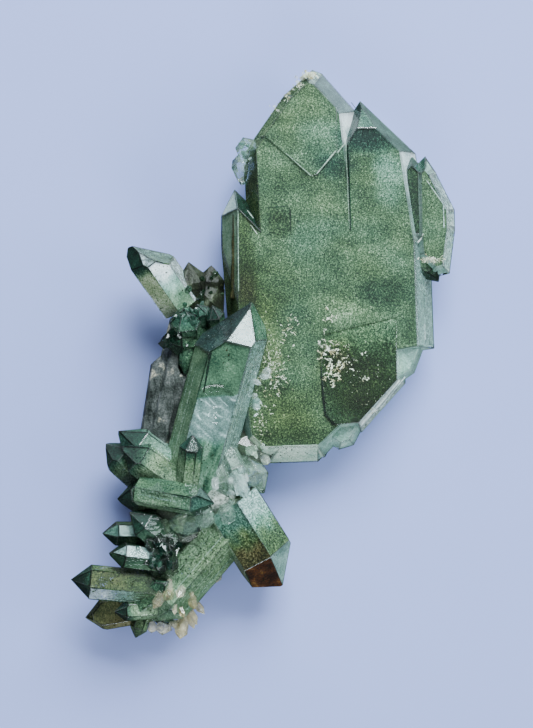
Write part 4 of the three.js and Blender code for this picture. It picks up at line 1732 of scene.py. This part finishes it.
@dataclass
class Plate:
    """The wide plate: tabular crystals grown side by side, each a little higher or lower."""

    name: str = "plate"
    base_tone: float = 0.335
    base_warmth: float = 0.6
    # slope_tone is pale partly as painted light, so that the clear rims look lit through
    slope_tone: float = 0.72
    slope_depth: float = 0.5
    back_depth: float = 0.4
    left_spire: Tablet = Tablet((
        (5.9, 40.5), (7.5, 39.9), (12.3, 34.5), (12.9, 22.6), (14.6, 8.0), (14.6, -4.0),
        (12.1, -10.2), (8.1, -14.1), (1.6, -14.3), (0.6, -4.3), (-0.6, 18.7), (-1.8, 31.4),
        (-1.9, 32.5), (4.1, 37.9),
    ), bevels={0: 60, 1: 61, 2: 60, 3: 60, 7: 60, 10: 60, 12: 72, 13: 72}, stains=(
        Stain(2, 0.8, -0.1, 0.8, Look.VEIL, 0.2), cloudy(3, 0.44, -0.7),
        # cloudy(9), under the bottom rim, is paler partly as painted light
        cloudy(5, 1.0, -0.6, root=(0.3, 0.4)), cloudy(9, 0.84, 0.3), Stain(11, 0.3, 1.0),
        Stain(14, 0.6, 0.9, 0.85, Look.VEIL, 0.2),
        Stain(15, 0.42, 0.7, look=Look.FELTED, depth=0.3),
    ))
    raised_end: Tablet = Tablet((
        (5.9, 40.4), (7.5, 39.9), (10.0, 37.2), (10.8, 36.4), (10.9, 29.9), (7.9, 26.4),
        (7.0, 26.1), (-1.2, 33.2), (4.1, 37.9),
    ), PLATE_FRONT + LAYER_STEP, PLATE_FRONT - 4, stains=(
        felted(9, 0.42, 0.7), felted(10, 0.42, 0.7),
    ))
    right_spire: Tablet = Tablet((
        (13.9, 33.4), (16.7, 33.4), (20.4, 29.9), (22.4, 17.1), (23.0, 0.8), (19.8, 0.3),
        (13.3, -0.1), (12.9, 18.0), (12.5, 31.2),
    ), bevels={0: 38.2, 2: 60, 3: 58, 4: 80, 5: 70}, stains=(
        felted(2, 0.38, 0.0), cloudy(3, 0.34, -0.3), cloudy(4, 0.88, -0.5, root=(0.6, -0.3)),
        Stain(5, 0.7, -0.2, 0.8, Look.VEIL, 0.3), Stain(8, 0.3, 0.1), Stain(10, 0.1, -0.1),
    ))
    lower_lobe: Tablet = Tablet(
        (
            (9.8, 7.7), (13.1, 9.2), (19.7, 7.7), (19.9, -4.2), (14.1, -10.7), (10.8, -11.0),
            (9.2, -9.6), (8.5, -2.3),
        ),
        PLATE_FRONT - 0.08, REAR_FACE + 0.3, 70, lean=(0.004, -0.016), facet_skins={0: Skin.DIM},
        stains=(Stain(5, 0.9, 0.1, 0.9, Look.VEIL, 0.3),),
    )
    left_shoulder: Tablet = Tablet((
        (-3.4, 22.6), (-0.3, 17.8), (9.8, 7.7), (9.8, -11.0), (8.1, -14.2), (0.1, -14.4),
        (-1.9, -12.6), (-2.5, -8.0), (-3.9, 7.7), (-4.0, 21.4),
    ), back=REAR_FACE + 0.3, bevels={5: 60, 8: 60}, stains=(
        # cloudy(6), under the bottom rim, is paler partly as painted light
        Stain(3, 0.1, 0.2), cloudy(7, 0.74, 0.5), cloudy(6, 0.84, 0.3), Stain(9, 0.4, 0.8, 0.9),
        Stain(10, 0.6, 0.5, 1.0, Look.CLOUDY, 0.4), Stain(11, 0.84, -0.4, 1.0, Look.CLOUDY, 0.2),
    ))
    ledge: Tablet = Tablet((
        (22.2, 20.4), (24.3, 15.6), (24.2, 11.4), (23.8, 10.8), (24.2, 1.6), (23.4, 0.2),
        (20.4, 0.6),
    ), PLATE_FRONT - 2.2, REAR_FACE + 2.6, 74, stains=(
        cloudy(5, 0.66, -0.5, root=(1.0, -0.4)),
    ))
    notch: Tablet = Tablet(
        ((19.6, 0.4), (23.2, 0.6), (22.0, -2.6), (19.6, -4.2)), PLATE_FRONT - 0.6, REAR_FACE + 1.6,
        74, lean=(-0.25, 0.1),
    )
    lower_corner: Tablet = Tablet((
        (10.8, -11.1), (14.0, -10.8), (12.8, -13.2), (11.5, -13.6), (10.2, -12.8),
    ), PLATE_FRONT - 1.2, REAR_FACE + 2.5)
    sliver: Tablet = Tablet((
        (21.4, 27.2), (22.1, 27.9), (23.1, 26.9), (23.4, 17.6), (22.1, 17.6), (21.2, 19.4),
    ), PLATE_FRONT - 0.6, REAR_FACE + 2, stains=(
        Stain(2, 0.2, -0.1), Stain(3, 0.25, -0.1),
    ))
    outer_rim: Tablet = Tablet((
        (23.4, 26.7), (24.2, 27.5), (24.7, 26.5), (27.4, 22.5), (27.5, 18.4), (26.8, 12.8),
        (25.7, 12.5), (23.8, 14.7), (23.5, 17.7),
    ), PLATE_FRONT - 0.4, REAR_FACE + 4.2, 60, stains=(
        Stain(2, 0.25, 0.0), Stain(3, 0.78, -0.4, 0.8, Look.VEIL, 0.25),
        Stain(5, 0.85, 0.0, 1.0, Look.VEIL, 0.25), Stain(6, 0.8, 0.0, 1.0, Look.VEIL, 0.25),
    ))
    rear_layers: tuple[Tablet, ...] = (
        Tablet((
            (3.4, 33.6), (10.2, 27.0), (10.6, 4.0), (7.0, -9.6), (2.4, -12.2), (0.8, 2.0),
            (0.4, 27.0),
        ), 4, 0),
        Tablet(((14.0, 28.0), (19.2, 25.6), (20.6, 9.0), (14.2, 2.4), (12.6, 9.0)), 4, 0),
        Tablet(((10.6, 2.4), (17.4, -0.4), (14.4, -8.4), (10.8, -8.8)), 4, 0.2),
    )
    hollow_floor: Tablet = Tablet(
        ((0.5, 21.55), (3.8, 21.8), (4.1, 17.2), (0.8, 17.0)), PLATE_FRONT - 0.27,
    )
    hollow: Slot = Slot((2.3, 19.4, PLATE_FRONT), (3.3, 4.5, 2 * LAYER_STEP), 4.0)
    groove: Slot = Slot((12.8, 24.6, PLATE_FRONT), (0.3, 13.0, 1.2), 4.0)
    clouds: tuple[Cloud, ...] = tuple(Cloud(*row) for row in (
        ((5.4, 33.8), (3.9, 3.3), 0.02, 0.1), ((9.1, 31.6), (3.6, 3.3), 0.04, -0.3),
        ((10.8, 27.7), (2.4, 1.4), -0.17, -0.3), ((3.1, 24.8), (4.2, 2.1), -0.05, 0.0),
        ((6.9, 17.8), (6.3, 2.1), 0.07, -0.2), ((2.4, 18.7), (1.5, 2.1), -0.06, 0.3),
        # The pale grey patch at (18.8, 26.0) is a painted reflection: a sheen on the front face
        ((15.5, 31.9), (3.3, 1.8), -0.24, -0.6), ((18.8, 26.0), (2.2, 3.8), 0.13, -0.4),
        ((16.6, 20.4), (3.6, 2.1), -0.03, 0.0), ((17.3, 14.4), (5.1, 2.1), 0.04, 0.0),
        ((19.1, 8.6), (4.5, 1.8), -0.17, -0.1), ((-0.3, 9.2), (3.6, 3.6), -0.1, 0.3),
        ((13.6, 5.9), (6.0, 1.4), 0.11, 0.0), ((15.4, -5.1), (5.4, 5.0), -0.14, 0.45),
        ((0.2, 1.0), (2.4, 4.6), 0.07, 0.3), ((10.4, -1.0), (2.4, 2.4), 0.06, 0.3),
        ((3.1, -9.5), (4.5, 3.9), -0.06, 0.4), ((5.4, -13.2), (6.0, 1.2), -0.12, 0.1),
        ((-2.9, 11.9), (1.1, 9.5), -0.14, 0.3), ((21.8, 3.2), (1.2, 4.5), -0.06, 0.0),
    ))
    lines_of_dust_and_light: tuple[LineOfDustAndLight, ...] = (
        # Pale lines along the raised end's V and nearby edges: painted highlights
        LineOfDustAndLight(((3.3, 29.5), (7.0, 26.2)), (0.05, 0.14), 0.75, level=9.62),
        LineOfDustAndLight(((7.9, 26.5), (10.7, 29.9)), (0.16, 0.2), 0.8, level=9.62),
        LineOfDustAndLight(((10.9, 29.6), (12.2, 31.2)), (0.2, 0.14), 0.8, level=9.32),
        # The groove: its lit left wall a painted highlight, its right wall painted shade
        LineOfDustAndLight(((12.2, 30.8), (12.75, 18.3)), (0.12, 0.05), 0.7, level=9.36),
        LineOfDustAndLight(((12.45, 30.8), (12.9, 18.1)), (0.18, 0.12), 0.02, level=9.36),
        LineOfDustAndLight(((-3.86, 21.0), (-3.8, 9.0)), (0.14, 0.14), 0.7, level=9.36),
        LineOfDustAndLight(((-4.55, 20.6), (-4.5, 13.9), (-4.6, 7.9)), (0.3, 0.9), 0.2, 1.5, level=8.22),
        # Dark lines along the hollow's right and upper walls: painted shade
        LineOfDustAndLight(((3.86, 21.5), (4.06, 17.4)), (0.2, 0.12), 0.0, level=9.22),
        LineOfDustAndLight(((0.6, 21.5), (3.7, 21.7)), (0.12, 0.12), 0.1, level=9.22),
        LineOfDustAndLight(
            ((8.5, -2.3), (8.9, -7.9), (9.25, -9.6), (10.5, -10.9)), (0.22, 0.34), 0.02, level=9.38,
        ),
        LineOfDustAndLight(((-2.5, 21.1), (-1.6, 19.9)), (0.08, 0.16), 0.95),
        LineOfDustAndLight(((-2.0, 18.9), (-1.0, 17.5)), (0.05, 0.1), 0.95),
        # From here, the pale lines on the right and lower rims are painted highlights
        LineOfDustAndLight(((23.8, 17.6), (23.5, 16.9), (23.0, 16.3)), (0.14, 0.26), 0.98, level=9.0),
        LineOfDustAndLight(((23.5, 10.6), (24.0, 6.6)), (0.9, 0.2), 0.3, -0.1, 7.05),
        # A wide white patch on a small facet: a painted highlight
        LineOfDustAndLight(((23.85, 4.1), (23.95, 1.8)), (0.5, 0.5), 1.0, -0.3, 7.05),
        LineOfDustAndLight(((22.2, 10.0), (22.6, 1.4)), (0.3, 0.4), 0.85, -0.3, 8.8),
        LineOfDustAndLight(((20.3, -4.3), (17.0, -8.2), (14.4, -11.0)), (0.2, 0.5), 1.0, -0.3, 8.6),
        LineOfDustAndLight(((21.2, -3.8), (17.4, -8.6)), (0.14, 0.2), 0.9, -0.3, 7.6),
        LineOfDustAndLight(((13.1, 37.4), (14.6, 35.3)), (0.1, 0.1), 0.2, -0.5, 7.9),
        LineOfDustAndLight(((24.3, 25.6), (26.8, 22.0), (26.9, 18.5)), (0.1, 0.16), 0.8, -0.2, 8.92),
    )

    def tablets(self) -> list[Tablet]:
        """Every tabular crystal of the plate, front ones first."""
        return [
            self.left_spire, self.raised_end, self.right_spire, self.lower_lobe, self.left_shoulder,
            self.ledge, self.notch, self.lower_corner, self.sliver, self.outer_rim,
            *self.rear_layers,
        ]

    def solids(self) -> list[Thing]:
        """The clear tablets, one object each."""
        return [tablet.solid() for tablet in self.tablets()]

    def shades(self, points: Array, tone: Array) -> Values:
        """Tone, warmth and cover of the plate's dust: its base values plus every soft patch.

        A patch adds its strength times exp(-r^4), with r the distance from its middle in
        units of its reach, so it is even inside and fades at its edge.

        Args:
            points: places in drawing millimetres.
            tone: what this layer adds to the plate's tone.

        Returns:
            One value per point for each name.
        """
        ragged = points[:, :2] + 0.7 * np.stack([drift(points, 4.0, 5), drift(points, 4.0, 6)], -1)
        tones = self.base_tone + tone
        warmths = np.full(len(points), self.base_warmth)
        for cloud in self.clouds:
            away = (((ragged - cloud.at) / cloud.reach) ** 2).sum(axis=1)
            share = np.exp(-away * away * 0.5)
            tones = tones + cloud.tone * share
            warmths = warmths + cloud.warmth * share
        bands = drift(points * [0.35, 1.0, 0.35], 5.0, 8)
        return {
            "tone": tones + 0.05 * bands + 0.035 * drift(points, 1.6, 9),
            "warmth": warmths + 0.1 * drift(points, 6.0, 10),
            "cover": np.full(len(points), 1.0),
        }

    def layer(
        self, tablet: Tablet, tone: float = 0.0, depth: float = 0.35, inset: float = 0.1,
        pale: bool = False, fade: Pair | None = None,
    ) -> Surface:
        """One dusted layer under a tablet's front face, with its shades.

        Args:
            tablet: the tablet.
            tone: what the layer adds to the plate's tone.
            depth: how far below the face it lies.
            inset: how far inside the outline it ends.
            pale: whether it is a smooth grey haze instead of green grains.
            fade: the y from which the added tone starts and the y where it is whole.

        Returns:
            The layer.
        """
        surface = tablet.sheet(depth, inset)
        added = np.full(len(surface.points), tone)
        if fade:
            added *= smoothstep(-fade[0], -fade[1], -surface.points[:, 1])
        shades = self.shades(surface.points, added)
        shades["warmth"] -= 0.7 * pale
        return surface.shaded(shades, Look.CLOUDY if pale else Look.FELTED)

    def slopes(self) -> list[Surface]:
        """The dusted layers under the slopes and the backs of all tablets.

        The pale ones under the slopes are partly painted light, so that the rims look lit through.
        """
        layers = []
        for index, tablet in enumerate(self.tablets()):
            facets = tablet.facets()
            named = {stain.facet: stain for stain in tablet.stains}
            for number in range(2, len(facets.offsets)):
                pale = cloudy(number, self.slope_tone, 0.0, depth=self.slope_depth)
                stain = named.get(number, pale)
                layers += stained_facet(facets, stain, 40 * index + number, PLATE_GROWTH)
            back = facet_layer(facets, 1, self.back_depth, 72, 12)
            shades = self.shades(back.points, np.zeros(len(back.points)))
            layers.append(back.shaded(shades, Look.FELTED))
        return layers

    def dress(self) -> None:
        """Makes the plate's layers: dust under its faces and slopes, and lines along its edges.

        Most pale lines are painted highlights, and the dark ones on walls painted shade.
        """
        rows = (
            (self.left_spire,), (self.left_shoulder,), (self.raised_end, 0.02, 0.3),
            (self.hollow_floor, -0.07, 0.03, 0.0), (self.right_spire,),
            (self.lower_lobe, -0.19, 0.2, 0.1, False, (4.5, -2.0)), (self.sliver, -0.22, 0.3),
            (self.outer_rim, 0.03, 0.35, 0.2), (self.notch, 0.38, 0.3, 0.15, True),
            (self.lower_corner, 0.42, 0.3, 0.15, True), (self.ledge, 0.3, 0.3, 0.15, True),
        )
        layers = [self.layer(*row) for row in rows]
        edges = [edge.ribbon() for edge in self.lines_of_dust_and_light]
        dress_layers(self.name, layers + self.slopes() + edges)


def strewn_balls(places: Array, sizes: Array, tones: Array, random: np.random.Generator) -> Surface:
    """Many small rough grains at once.

    A grain's point is its place plus the direction times the grain's size, its stretch in
    each direction and an uneven share.

    Args:
        places: the grains' middles.
        sizes: their half sizes.
        tones: their tones.
        random: where the unevenness comes from.

    Returns:
        One surface with a tone per point.
    """
    ball = closed_surface(ball_grid(4, 6), -UPWARDS, UPWARDS)
    total, count = len(places), len(ball.points)
    reach = random.uniform(0.6, 1.25, (total, count, 1))
    stretch = random.uniform(0.6, 1.3, (total, 1, 3)) * [1.0, 1.0, 0.6]
    points = places[:, None] + ball.points * reach * stretch * sizes[:, None, None]
    faces = repeated(ball.faces, count, total)
    return Surface(points.reshape(-1, 3), faces, {"tone": np.repeat(tones, count)})


@dataclass(frozen=True)
class CrustPatch:
    """A patch of pale crust: its middle, its reach, and how many chains of grains it holds."""

    at: Vec
    reach: Pair
    chains: int
    grain: float = 0.1
    links: int = 9
    lean: float = 0.0


@dataclass
class PaleCrust:
    """Cream and white crust on the faces, in short crooked chains of grains."""

    name: str = "pale_crust_grains"
    patches: tuple[CrustPatch, ...] = tuple(CrustPatch(*row) for row in (
        ((3.9, 3.2, 9.52), (1.1, 2.8), 22, 0.065, 6, 1.2),
        ((9.6, 5.0, 9.52), (0.8, 1.8), 13, 0.075, 7, 1.4),
        ((1.2, -3.6, 9.52), (2.2, 3.6), 60, 0.06, 7, 1.9),
        ((0.9, -1.5, 9.5), (2.4, 5.4), 110, 0.04, 5, 1.2),
        ((9.3, 0.4, 9.52), (1.7, 1.2), 24, 0.085, 8, 0.3),
        ((10.8, -2.9, 9.52), (1.6, 2.2), 42, 0.08, 8, 1.9),
        ((11.6, -0.6, 9.5), (3.4, 2.6), 40, 0.04, 5, 1.6),
        ((-0.6, -10.8, 9.5), (1.4, 4.0), 60, 0.04, 5, 1.2),
        ((13.6, -1.0, 9.5), (1.4, 1.4), 5, 0.06, 5), ((15.4, -4.0, 9.48), (5.0, 5.0), 50, 0.04, 2),
        ((15.2, -4.2, 9.52), (0.8, 0.8), 5, 0.07, 5, 1.6),
        ((16.2, -9.0, 9.5), (0.9, 0.5), 6, 0.06, 6, 0.6),
        ((24.9, 13.7, 9.1), (1.9, 0.5), 60, 0.06, 6, 0.2),
        ((6.5, 41.2, 8.9), (1.0, 0.4), 46, 0.13, 3, 0.2),
        ((3.6, 38.0, 9.3), (0.9, 0.9), 16, 0.06, 5, 0.8),
        ((1.6, 36.2, 9.3), (1.1, 1.1), 14, 0.05, 5, 0.8),
        ((5.0, 39.6, 9.3), (0.8, 0.8), 26, 0.07, 5, 0.8),
    ))

    def grains(self) -> Surface:
        """All grains: each next one lies a step further along its chain's winding heading."""
        random = np.random.default_rng(77)
        places, sizes, tones = [], [], []
        for patch in self.patches:
            heading = patch.lean + random.normal(0.0, 0.5, (patch.chains, 1))
            bends = random.normal(0.0, 0.75, (patch.chains, patch.links))
            heading = heading + np.cumsum(bends, axis=1)
            steps = 1.3 * patch.grain * np.stack([np.cos(heading), np.sin(heading)], -1)
            start = random.normal(0.0, 0.5, (patch.chains, 1, 2)) * patch.reach + patch.at[:2]
            flat = (start + np.cumsum(steps, axis=1)).reshape(-1, 2)
            places.append(np.column_stack([flat, np.full(len(flat), patch.at[2])]))
            sizes.append(patch.grain * random.lognormal(-0.25, 0.35, len(flat)))
            tones.append(np.repeat(random.uniform(0.0, 1.0, patch.chains), patch.links))
        return strewn_balls(*map(np.concatenate, (places, sizes, tones)), random)

    def dress(self) -> None:
        """Makes the grains as one piece."""
        piece = to_object(self.grains(), self.name, smooth=False)
        dress_piece(piece, CrustFinish().material())


def ground_of(shell: Thing) -> BVHTree:
    """The shell's faces, ready to be hit."""
    return BVHTree.FromObject(shell, bpy.context.evaluated_depsgraph_get())


def landed(ground: BVHTree, flat: Array) -> tuple[Array, Array, Array]:
    """Where places that fall straight down come to lie on a surface.

    Args:
        ground: the surface.
        flat: x and y of the places in drawing millimetres.

    Returns:
        Which places met the surface from above, and for those their points and normals.
    """
    above = placed(np.column_stack([flat, np.full(len(flat), HIGH_ABOVE)]))
    hits = [ground.ray_cast(Vector(place), Vector(-UPWARDS))[:2] for place in above]
    met = np.array([normal is not None and normal.z > LEAST_UPWARD for _, normal in hits])
    good = [hit for hit, lands in zip(hits, met) if lands]
    points, normals = (np.array(found) for found in zip(*good))
    return met, points / MM - DRAWING_TO_PART, normals


@dataclass(frozen=True)
class DrusePatch:
    """A patch of very small crystals: its middle, its reach, their number, size and shades."""

    at: Pair
    reach: Pair
    count: int
    size: float
    tone: Pair
    warmth: float = 0.1
    pull: Vec = (0.0, 0.0, 0.7)


@dataclass
class Druse:
    """Very small crystals that cover the rough places between the large ones."""

    name: str = "druse"
    root: float = -0.5
    shoulder: float = 0.6
    point: float = 1.15
    patches: tuple[DrusePatch, ...] = tuple(DrusePatch(*row) for row in (
        ((-10.4, 5.4), (3.0, 2.0), 16, 1.3, (0.3, 0.7), 0.0),
        ((-13.6, 2.0), (2.4, 1.6), 14, 1.2, (0.05, 0.35), 0.2),
        ((-9.2, 9.0), (2.0, 3.0), 9, 1.5, (0.1, 0.45), 0.5),
        ((-15.4, -29.8), (2.8, 2.8), 18, 1.3, (0.1, 0.5), 0.0),
        ((-13.8, -25.4), (3.4, 1.3), 14, 1.5, (0.6, 0.95), 0.5, (0.6, 0.0, 0.6)),
        ((-3.6, -19.6), (2.4, 2.8), 10, 2.6, (0.8, 1.0), -0.2, (0.1, -0.6, 0.6)),
        ((-1.6, -14.6), (2.2, 2.0), 7, 2.2, (0.7, 1.0), 0.3, (0.3, -0.3, 0.6)),
        ((-12.8, -38.8), (4.2, 2.6), 15, 2.3, (0.75, 1.0), 1.7, (0.3, -0.9, 0.3)),
        ((0.1, -3.6), (0.3, 0.3), 3, 1.5, (0.9, 1.0), -0.3, (0.6, 0.1, 0.2)),
        ((-1.2, -7.6), (0.8, 3.4), 9, 1.4, (0.75, 1.0), -0.1, (0.3, -0.2, 0.6)),
        ((-2.9, 29.4), (0.8, 3.0), 10, 1.0, (0.5, 0.9), -0.1, (-0.5, 0.0, 0.5)),
    ))

    def crystals(self, ground: BVHTree) -> Surface:
        """All crystals at once: six-sided prisms with a point, each from its place along its axis.

        Args:
            ground: the shell, on which the crystals stand.

        Returns:
            One surface with tone, warmth and cover.
        """
        random = np.random.default_rng(5)
        turn = full_turn(6)
        ring = np.stack([np.cos(turn), np.sin(turn), np.zeros(6)], -1) * 0.5
        rows = np.stack([ring + self.root * UPWARDS, ring + self.shoulder * UPWARDS])
        one = closed_surface(rows, self.root * UPWARDS, self.point * UPWARDS)
        places, axes, sizes, tones, warmths = [], [], [], [], []
        for patch in self.patches:
            flat = random.normal(0.0, 0.5, (patch.count, 2)) * patch.reach + patch.at
            size = patch.size * random.lognormal(-0.5, 0.3, patch.count)
            tilt = random.normal(0.0, 0.45, (patch.count, 3))
            tone = random.uniform(*patch.tone, patch.count)
            met, points, normals = landed(ground, flat)
            places.append(points)
            axes.append(normals * 0.6 + patch.pull + tilt[met])
            sizes.append(size[met])
            tones.append(tone[met])
            warmths.append(np.full(len(points), patch.warmth))
        axis = unit(np.concatenate(axes))
        side = unit(np.cross(axis, [0.3, 0.5, 0.8]))
        size = np.concatenate(sizes)[:, None, None]
        width = size * random.uniform(0.7, 1.0, (len(axis), 1, 1))
        surface = copies(one, np.concatenate(places), axis, side, np.cross(axis, side), size, width)
        surface.values = {
            "tone": np.repeat(np.concatenate(tones), len(one.points)),
            "warmth": np.repeat(np.concatenate(warmths), len(one.points)),
            "cover": np.ones(len(surface.points)),
        }
        return surface

    def dress(self, shell: Thing) -> None:
        """Makes the small crystals as one piece that stands on the shell."""
        piece = to_object(self.crystals(ground_of(shell)), self.name, smooth=False)
        dress_piece(piece, finish_of(Look.SPARRY))


@dataclass
class DarkSpecks:
    """Specks of dark green and brown mineral that sit on the faces.

    Each patch gives its middle, its reach, how many specks it holds and how brown they are.
    Among the pale crust the specks are partly painted shade, in the pits between its grains.
    """

    name: str = "dark_specks"
    usual: float = 0.07
    largest: float = 0.12
    patches: tuple[tuple[Pair, Pair, int, float], ...] = (
        ((-12.0, -20.6), (4.4, 1.5), 70, 0.9), ((-18.2, -16.6), (4.2, 4.0), 150, 0.5),
        ((-21.6, -34.2), (5.6, 1.4), 90, 1.1), ((-15.8, 10.2), (2.8, 4.0), 70, 0.8),
        ((-0.2, -30.0), (3.6, 4.6), 130, 1.2), ((-8.6, -31.0), (5.0, 5.0), 170, 0.8),
        ((-7.4, -3.0), (3.0, 4.4), 40, 0.6), ((-9.0, -17.0), (3.0, 4.4), 90, 0.7),
        ((-19.4, -39.4), (4.4, 2.6), 110, 1.2), ((4.0, -15.4), (5.0, 1.0), 40, 1.6),
        ((-5.2, 4.0), (0.9, 8.0), 70, 1.6), ((-2.6, 26.0), (0.8, 7.0), 50, 1.5),
        ((-9.4, 9.6), (3.0, 3.4), 60, 1.4), ((24.6, 20.0), (2.2, 6.0), 40, 0.8),
        # These two patches lie among the crust: dark mineral and painted shade in its pits
        ((0.9, -3.0), (2.6, 5.0), 90, 1.0), ((10.4, -1.6), (2.4, 3.4), 90, 0.8),
    )

    def dress(self, shell: Thing) -> None:
        """Makes the specks as one piece.

        Args:
            shell: what they lie on.
        """
        ground, random = ground_of(shell), np.random.default_rng(19)
        places, warmths = [], []
        for at, reach, count, warmth in self.patches:
            _, points, _ = landed(ground, random.normal(0.0, 0.5, (count, 2)) * reach + at)
            places.append(points)
            warmths.append(np.full(len(points), warmth))
        middles = np.concatenate(places)
        drawn = self.usual * random.lognormal(0.0, 0.45, len(middles))
        sizes = np.minimum(drawn, self.largest)
        grains = strewn_balls(middles, sizes, random.uniform(0.0, 0.2, len(middles)), random)
        each = len(grains.points) // len(middles)
        grains.values["warmth"] = np.repeat(np.concatenate(warmths), each)
        grains.values["cover"] = np.ones(len(grains.points))
        dress_piece(to_object(grains, self.name, smooth=False), finish_of(Look.CLOUDY))


@dataclass
class ClearShell:
    """The clear quartz itself: every body of the specimen joined, less the cuts."""

    name: str = "clear_quartz"

    def grow(self, solids: Sequence[Thing], cuts: Sequence[Thing]) -> Thing:
        """Joins the solids one after another and takes the cuts away.

        Args:
            solids: the bodies, which are used up.
            cuts: what is taken from them, which is used up too.

        Returns:
            The shell as one closed object.
        """
        shell = solids[0]
        for other in solids[1:]:
            self.combine(shell, other, "UNION")
        for other in cuts:
            self.combine(shell, other, "DIFFERENCE")
        shell.name = self.name
        shell.data.name = self.name
        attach(shell, "root")
        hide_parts("quartz_cluster")
        log.info("%s: %d faces", shell.name, len(shell.data.polygons))
        return shell

    def combine(self, shell: Thing, other: Thing, operation: str) -> None:
        """Joins another object to the shell, or takes it away.

        Args:
            shell: what is changed.
            other: the other object, which is used up.
            operation: UNION or DIFFERENCE.
        """
        step = shell.modifiers.new("step", "BOOLEAN")
        step.operation, step.object = operation, other
        step.solver, step.material_mode = "MANIFOLD", "TRANSFER"
        graph = bpy.context.evaluated_depsgraph_get()
        mesh = bpy.data.meshes.new_from_object(shell.evaluated_get(graph))
        shell.modifiers.clear()
        old, used = shell.data, other.data
        shell.data = mesh
        bpy.data.objects.remove(other)
        for gone in (old, used):
            bpy.data.meshes.remove(gone)


@dataclass
class Studio:
    """The pale floor, the soft lights and the camera that looks straight down."""

    camera_at: Vec = (0.375, -1.875, 258.0)
    lens: float = 82.4
    film_width: float = 36.0
    floor_half: float = 3.0
    sky_bright_side: Vec = (0.5, 0.8, 0.33)
    light_colour: Vec = (0.85, 0.95, 1.0)
    sky_colour: Vec = (0.86, 0.9, 1.0)
    floor_colour: Vec = (168, 184, 250)
    mottle: tuple[Pair, ...] = ((0.3, -4.0), (0.7, 4.0))
    softboxes: tuple[tuple[str, Vec, Pair, float], ...] = (
        ("key", (0.12, 0.47, 0.40), (0.42, 0.3), 9.0),
        ("side", (0.62, -0.05, 0.30), (0.3, 0.3), 1.6),
        ("fill", (0.05, -0.55, 0.28), (0.4, 0.25), 2.5),
    )

    def floor(self) -> None:
        """The pale floor, with a faint mottle of matt paper."""
        half = self.floor_half
        corners = [(-half, -half, 0), (half, -half, 0), (half, half, 0), (-half, half, 0)]
        mesh = bpy.data.meshes.new("floor")
        mesh.from_pydata(corners, [], [(0, 1, 2, 3)])
        floor = linked("floor", mesh)
        material, tree, shader, _ = new_material("matt_paper")
        stops = {share: tuple(c + lift for c in self.floor_colour) for share, lift in self.mottle}
        mottle = noise(tree, object_place(tree), 12.0, 4.0)
        fill(shader, {"Base Color": ramp(tree, mottle, stops), "Roughness": 0.9})
        mesh.materials.append(material)
        floor.visible_glossy = False

    def lights(self) -> None:
        """A softbox beyond the plate's tips, two weak ones, and a sky that is paler there."""
        for box in self.softboxes:
            self.softbox(*box)
        world = bpy.data.worlds.new("soft_sky")
        world.use_nodes = True
        tree = world.node_tree
        looked = add_node(tree, "TexCoord").outputs["Generated"]
        inputs = {0: looked, 1: self.sky_bright_side}
        towards = add_node(tree, "VectorMath", inputs, operation="DOT_PRODUCT").outputs["Value"]
        brightness = ranged(tree, towards, 0.1, 0.95, 0.07, 1.0)
        fill(tree.nodes["Background"], {"Color": (*self.sky_colour, 1.0), "Strength": brightness})
        bpy.context.scene.world = world

    def softbox(self, name: str, at: Vec, size: Pair, power: float) -> None:
        """One rectangular light that faces the specimen.

        Args:
            name: the light's name.
            at: where it stands, in metres.
            size: its width and height in metres.
            power: its power in watts.
        """
        light = bpy.data.lights.new(name, "AREA")
        light.shape = "RECTANGLE"
        light.size, light.size_y = size
        light.energy, light.color = power, self.light_colour
        lamp = linked(name, light)
        lamp.location = at
        x, y, z = -np.array(at)
        lamp.rotation_euler = (math.acos(-z / np.linalg.norm(at)), 0.0, math.atan2(-x, y))
        lamp.visible_camera = False

    def camera(self) -> None:
        """The camera above the specimen, with +Y up in its view."""
        data = bpy.data.cameras.new("camera")
        data.lens, data.sensor_width, data.clip_start = self.lens, self.film_width, 0.01
        eye = linked("camera", data)
        eye.location = placed(np.array(self.camera_at))
        bpy.context.scene.camera = eye


def main() -> None:
    """Builds the specimen piece by piece, then the studio round it."""
    logging.basicConfig(level=logging.INFO, format="%(name)s: %(message)s")
    kinds = (
        UpperLeftCluster, Trunk, LeftSpray, DarkKnot, LowerStalk, BrokenChips, Junction, BackSpray,
        RoughEnds,
    )
    plate, prism, clusters = Plate(), FrontPrism(), [kind() for kind in kinds]
    solids = [solid for grown in (plate, prism, *clusters) for solid in grown.solids()]
    shell = ClearShell().grow(solids, [plate.hollow.solid(), plate.groove.solid(), prism.scoop()])
    for grown in (plate, prism, *clusters):
        grown.dress()
    Druse().dress(shell)
    DarkSpecks().dress(shell)
    PaleCrust().dress()
    studio = Studio()
    studio.floor()
    studio.lights()
    studio.camera()


if __name__ == "__main__":
    main()
